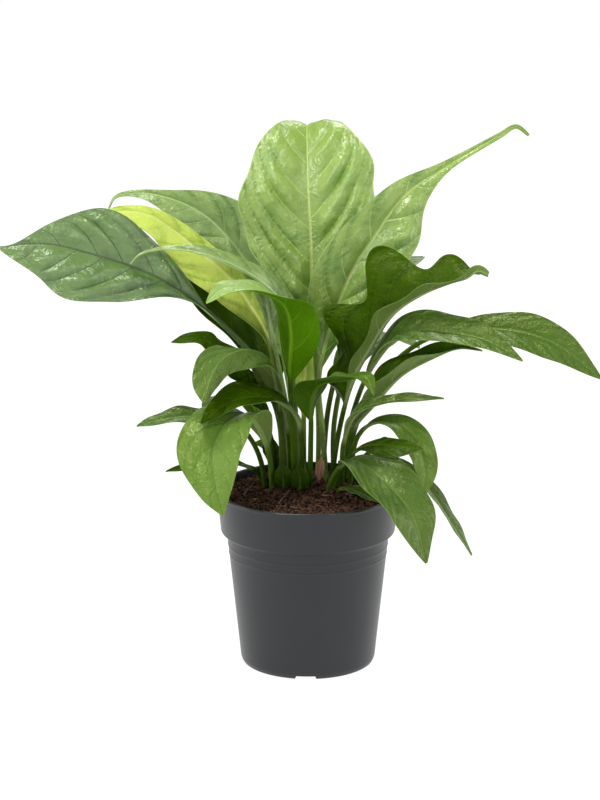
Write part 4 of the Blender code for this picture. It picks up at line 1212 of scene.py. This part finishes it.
def make_soil_bed(material):
    """The soil's visible top, a thick skin over its solid."""
    rings = [(0.0, 0.0)] + [(radius, 0.0) for radius in np.arange(1.0, SOIL_RADIUS, BED_RING_STEP)]
    foot = [(0.0, -BED_DEPTH), (SOIL_RADIUS - 0.6, -BED_DEPTH), (SOIL_RADIUS, -BED_BEVEL)]
    bm = turned(foot + rings[::-1], BED_SIDES)
    for vert in bm.verts:
        if vert.co.z > -1.0:
            vert.co.z = soil_roughness(vert.co.x, vert.co.y)
        vert.co.z += soil_height(vert.co.x, vert.co.y)
    add_object("peat_bed", bm, [material], None, "potting_soil")


def copies(bm, count):
    """Doubles what the mesh holds until there are at least count copies, and returns how many."""
    made = 1
    while made < count:
        bmesh.ops.duplicate(bm, geom=bm.verts[:] + bm.edges[:] + bm.faces[:])
        made *= 2
    return made


def random_turns(draw, count):
    """Random rotations as matrices, from random unit quaternions."""
    w, x, y, z = unit(draw.normal(size=(count, 4))).T
    return np.moveaxis(np.array([
        [1 - 2 * (y * y + z * z), 2 * (x * y - z * w), 2 * (x * z + y * w)],
        [2 * (x * y + z * w), 1 - 2 * (x * x + z * z), 2 * (y * z - x * w)],
        [2 * (x * z - y * w), 2 * (y * z + x * w), 1 - 2 * (x * x + y * y)],
    ]), -1, 0)


def set_points(bm, points):
    """Moves the mesh's vertices, in order, to the points."""
    for vert, point in zip(bm.verts, points.reshape(-1, 3)):
        vert.co = point


def make_crumbs(material):
    """Loose crumbs all over the soil, each a dented and flattened lump."""
    draw = np.random.default_rng(4)
    bm = bmesh.new()
    bmesh.ops.create_icosphere(bm, subdivisions=1, radius=1.0)
    lump = np.array([vert.co[:] for vert in bm.verts])
    count = copies(bm, CRUMB_COUNT)
    size = CRUMB_SMALLEST + CRUMB_SPREAD * draw.random(count) ** 2.0
    radius = (SOIL_RADIUS - 2.0) * np.sqrt(draw.random(count))
    angle = draw.uniform(0, 2 * math.pi, count)
    x = radius * np.cos(angle)
    y = radius * np.sin(angle)
    z = np.array([soil_height(*spot) + soil_roughness(*spot) for spot in zip(x, y)]) + 0.4 * size
    long = draw.uniform(0.9, 1.9, count)
    flat = draw.uniform(0.6, 1.0, count)
    stretch = np.stack([long, np.ones(count), flat], axis=1)
    dented = lump * draw.uniform(0.7, 1.3, (count, len(lump), 1)) * (stretch * size[:, None])[:, None, :]
    turned_lumps = dented @ random_turns(draw, count)
    set_points(bm, turned_lumps + np.stack([x, y, z], axis=1)[:, None, :])
    add_object("peat_crumbs", bm, [material], None, "potting_soil", smooth_angle=25.0)


def make_fibres(material):
    """Peat fibres and root threads, each a bent chain of thin cones."""
    draw = np.random.default_rng(9)
    bm = bmesh.new()
    bmesh.ops.create_cone(bm, cap_ends=True, segments=4, radius1=1.0, radius2=0.8, depth=1.0)
    rod = np.array([vert.co[:] for vert in bm.verts])
    count = copies(bm, FIBRE_COUNT * FIBRE_LINKS)
    rods = []
    for index in range(count):
        if index % FIBRE_LINKS == 0:
            radius = (SOIL_RADIUS - 8.0) * math.sqrt(draw.random())
            angle = draw.uniform(0, 2 * math.pi)
            start = surface_point(radius * math.cos(angle), radius * math.sin(angle), 0.9)
            heading = draw.uniform(0, 2 * math.pi)
            thick = draw.uniform(*FIBRE_HALF_THICKNESS)
        heading += draw.uniform(-FIBRE_BEND, FIBRE_BEND)
        length = draw.uniform(*FIBRE_LINK_LENGTH)
        end = surface_point(
            start.x + length * math.cos(heading),
            start.y + length * math.sin(heading),
            draw.uniform(0.9, 2.0),
        )
        run = end - start
        turn = np.array(run.to_track_quat("Z", "Y").to_matrix())
        rods.append(rod * (thick, thick, run.length) @ turn.T + np.array((start + end) / 2))
        start = end
    set_points(bm, np.array(rods))
    add_object("peat_fibres", bm, [material], None, "potting_soil")


def make_soil():
    """The peat's uneven top with its crumbs and fibres, and the same finish on its plain solid."""
    peat = damp_peat("damp_peat", "#0E0705", "#664838")
    make_soil_bed(peat)
    make_crumbs(peat)
    make_fibres(damp_peat("peat_fibre", "#4A3424", "#9A7A60"))
    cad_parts["soil"].data.materials.clear()
    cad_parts["soil"].data.materials.append(peat)


# Studio

def make_paper():
    """The floor, and a wall all round that low views see above it."""
    material, tree, shader = new_material("studio_paper")
    shader.inputs["Base Color"].default_value = linear(PAPER_GREY)
    shader.inputs["Roughness"].default_value = 0.9
    shader.inputs["Emission Color"].default_value = linear("#FFFFFF")
    shader.inputs["Emission Strength"].default_value = PAPER_GLOW
    bm = bmesh.new()
    bmesh.ops.create_grid(bm, x_segments=2, y_segments=2, size=PAPER_HALF)
    bmesh.ops.translate(bm, verts=bm.verts[:], vec=(0, 0, -PAPER_GAP))
    add_object("studio_floor", bm, [material])
    bm = bmesh.new()
    bmesh.ops.create_cone(
        bm, segments=48, radius1=WALL_RADIUS, radius2=WALL_RADIUS, depth=WALL_HEIGHT,
        matrix=Matrix.Translation((0, 0, WALL_HEIGHT / 2 - WALL_SINK)),
    )
    add_object("studio_wall", bm, [material])


def make_light(name, place, width, height, power):
    """A soft rectangular light that faces the plant."""
    light = bpy.data.lights.new(name, "AREA")
    light.shape = "RECTANGLE"
    light.size = width
    light.size_y = height
    light.energy = power
    lamp = bpy.data.objects.new(name, light)
    lamp.location = place
    lamp.rotation_euler = (Vector(LIGHT_TARGET) - Vector(place)).to_track_quat("-Z", "Y").to_euler()
    bpy.context.scene.collection.objects.link(lamp)


def make_studio():
    """The world, the paper and the lights."""
    world = bpy.data.worlds.new("studio")
    world.use_nodes = True
    background = world.node_tree.nodes["Background"]
    background.inputs["Color"].default_value = linear("#FFFFFF")
    background.inputs["Strength"].default_value = WORLD_STRENGTH
    bpy.context.scene.world = world
    bpy.context.scene.view_settings.view_transform = "Standard"
    make_paper()
    for light in STUDIO_LIGHTS:
        make_light(*light)


def make_camera():
    """The photograph's viewpoint, level from side to side and looking down a little."""
    camera = bpy.data.cameras.new("camera")
    camera.lens = CAMERA_LENS
    camera.sensor_width = CAMERA_SENSOR
    camera.clip_end = CAMERA_REACH
    holder = bpy.data.objects.new("camera", camera)
    back = Vector((0.0, -math.cos(CAMERA_ELEVATION), math.sin(CAMERA_ELEVATION)))
    holder.location = Vector(CAMERA_TARGET) + back * CAMERA_DISTANCE
    holder.rotation_euler = back.to_track_quat("Z", "Y").to_euler()
    bpy.context.scene.collection.objects.link(holder)
    bpy.context.scene.camera = holder


LEAF_MATERIALS = {
    style: [
        leaf_upper("living_leaf_" + style, blade, patch_and_shade, vein, stalk, strength, pucker, shine),
        leaf_under("living_leaf_underside_" + style, under, under_vein, stalk),
    ]
    for style, (blade, patch_and_shade, vein, under, under_vein, stalk, strength, pucker, shine)
    in LEAF_STYLES.items()
}

make_camera()
make_studio()
make_pot()
make_soil()
for seed, (name, shape) in enumerate(LEAVES.items()):
    make_leaf(name, shape, LEAF_LOOKS[name], seed)
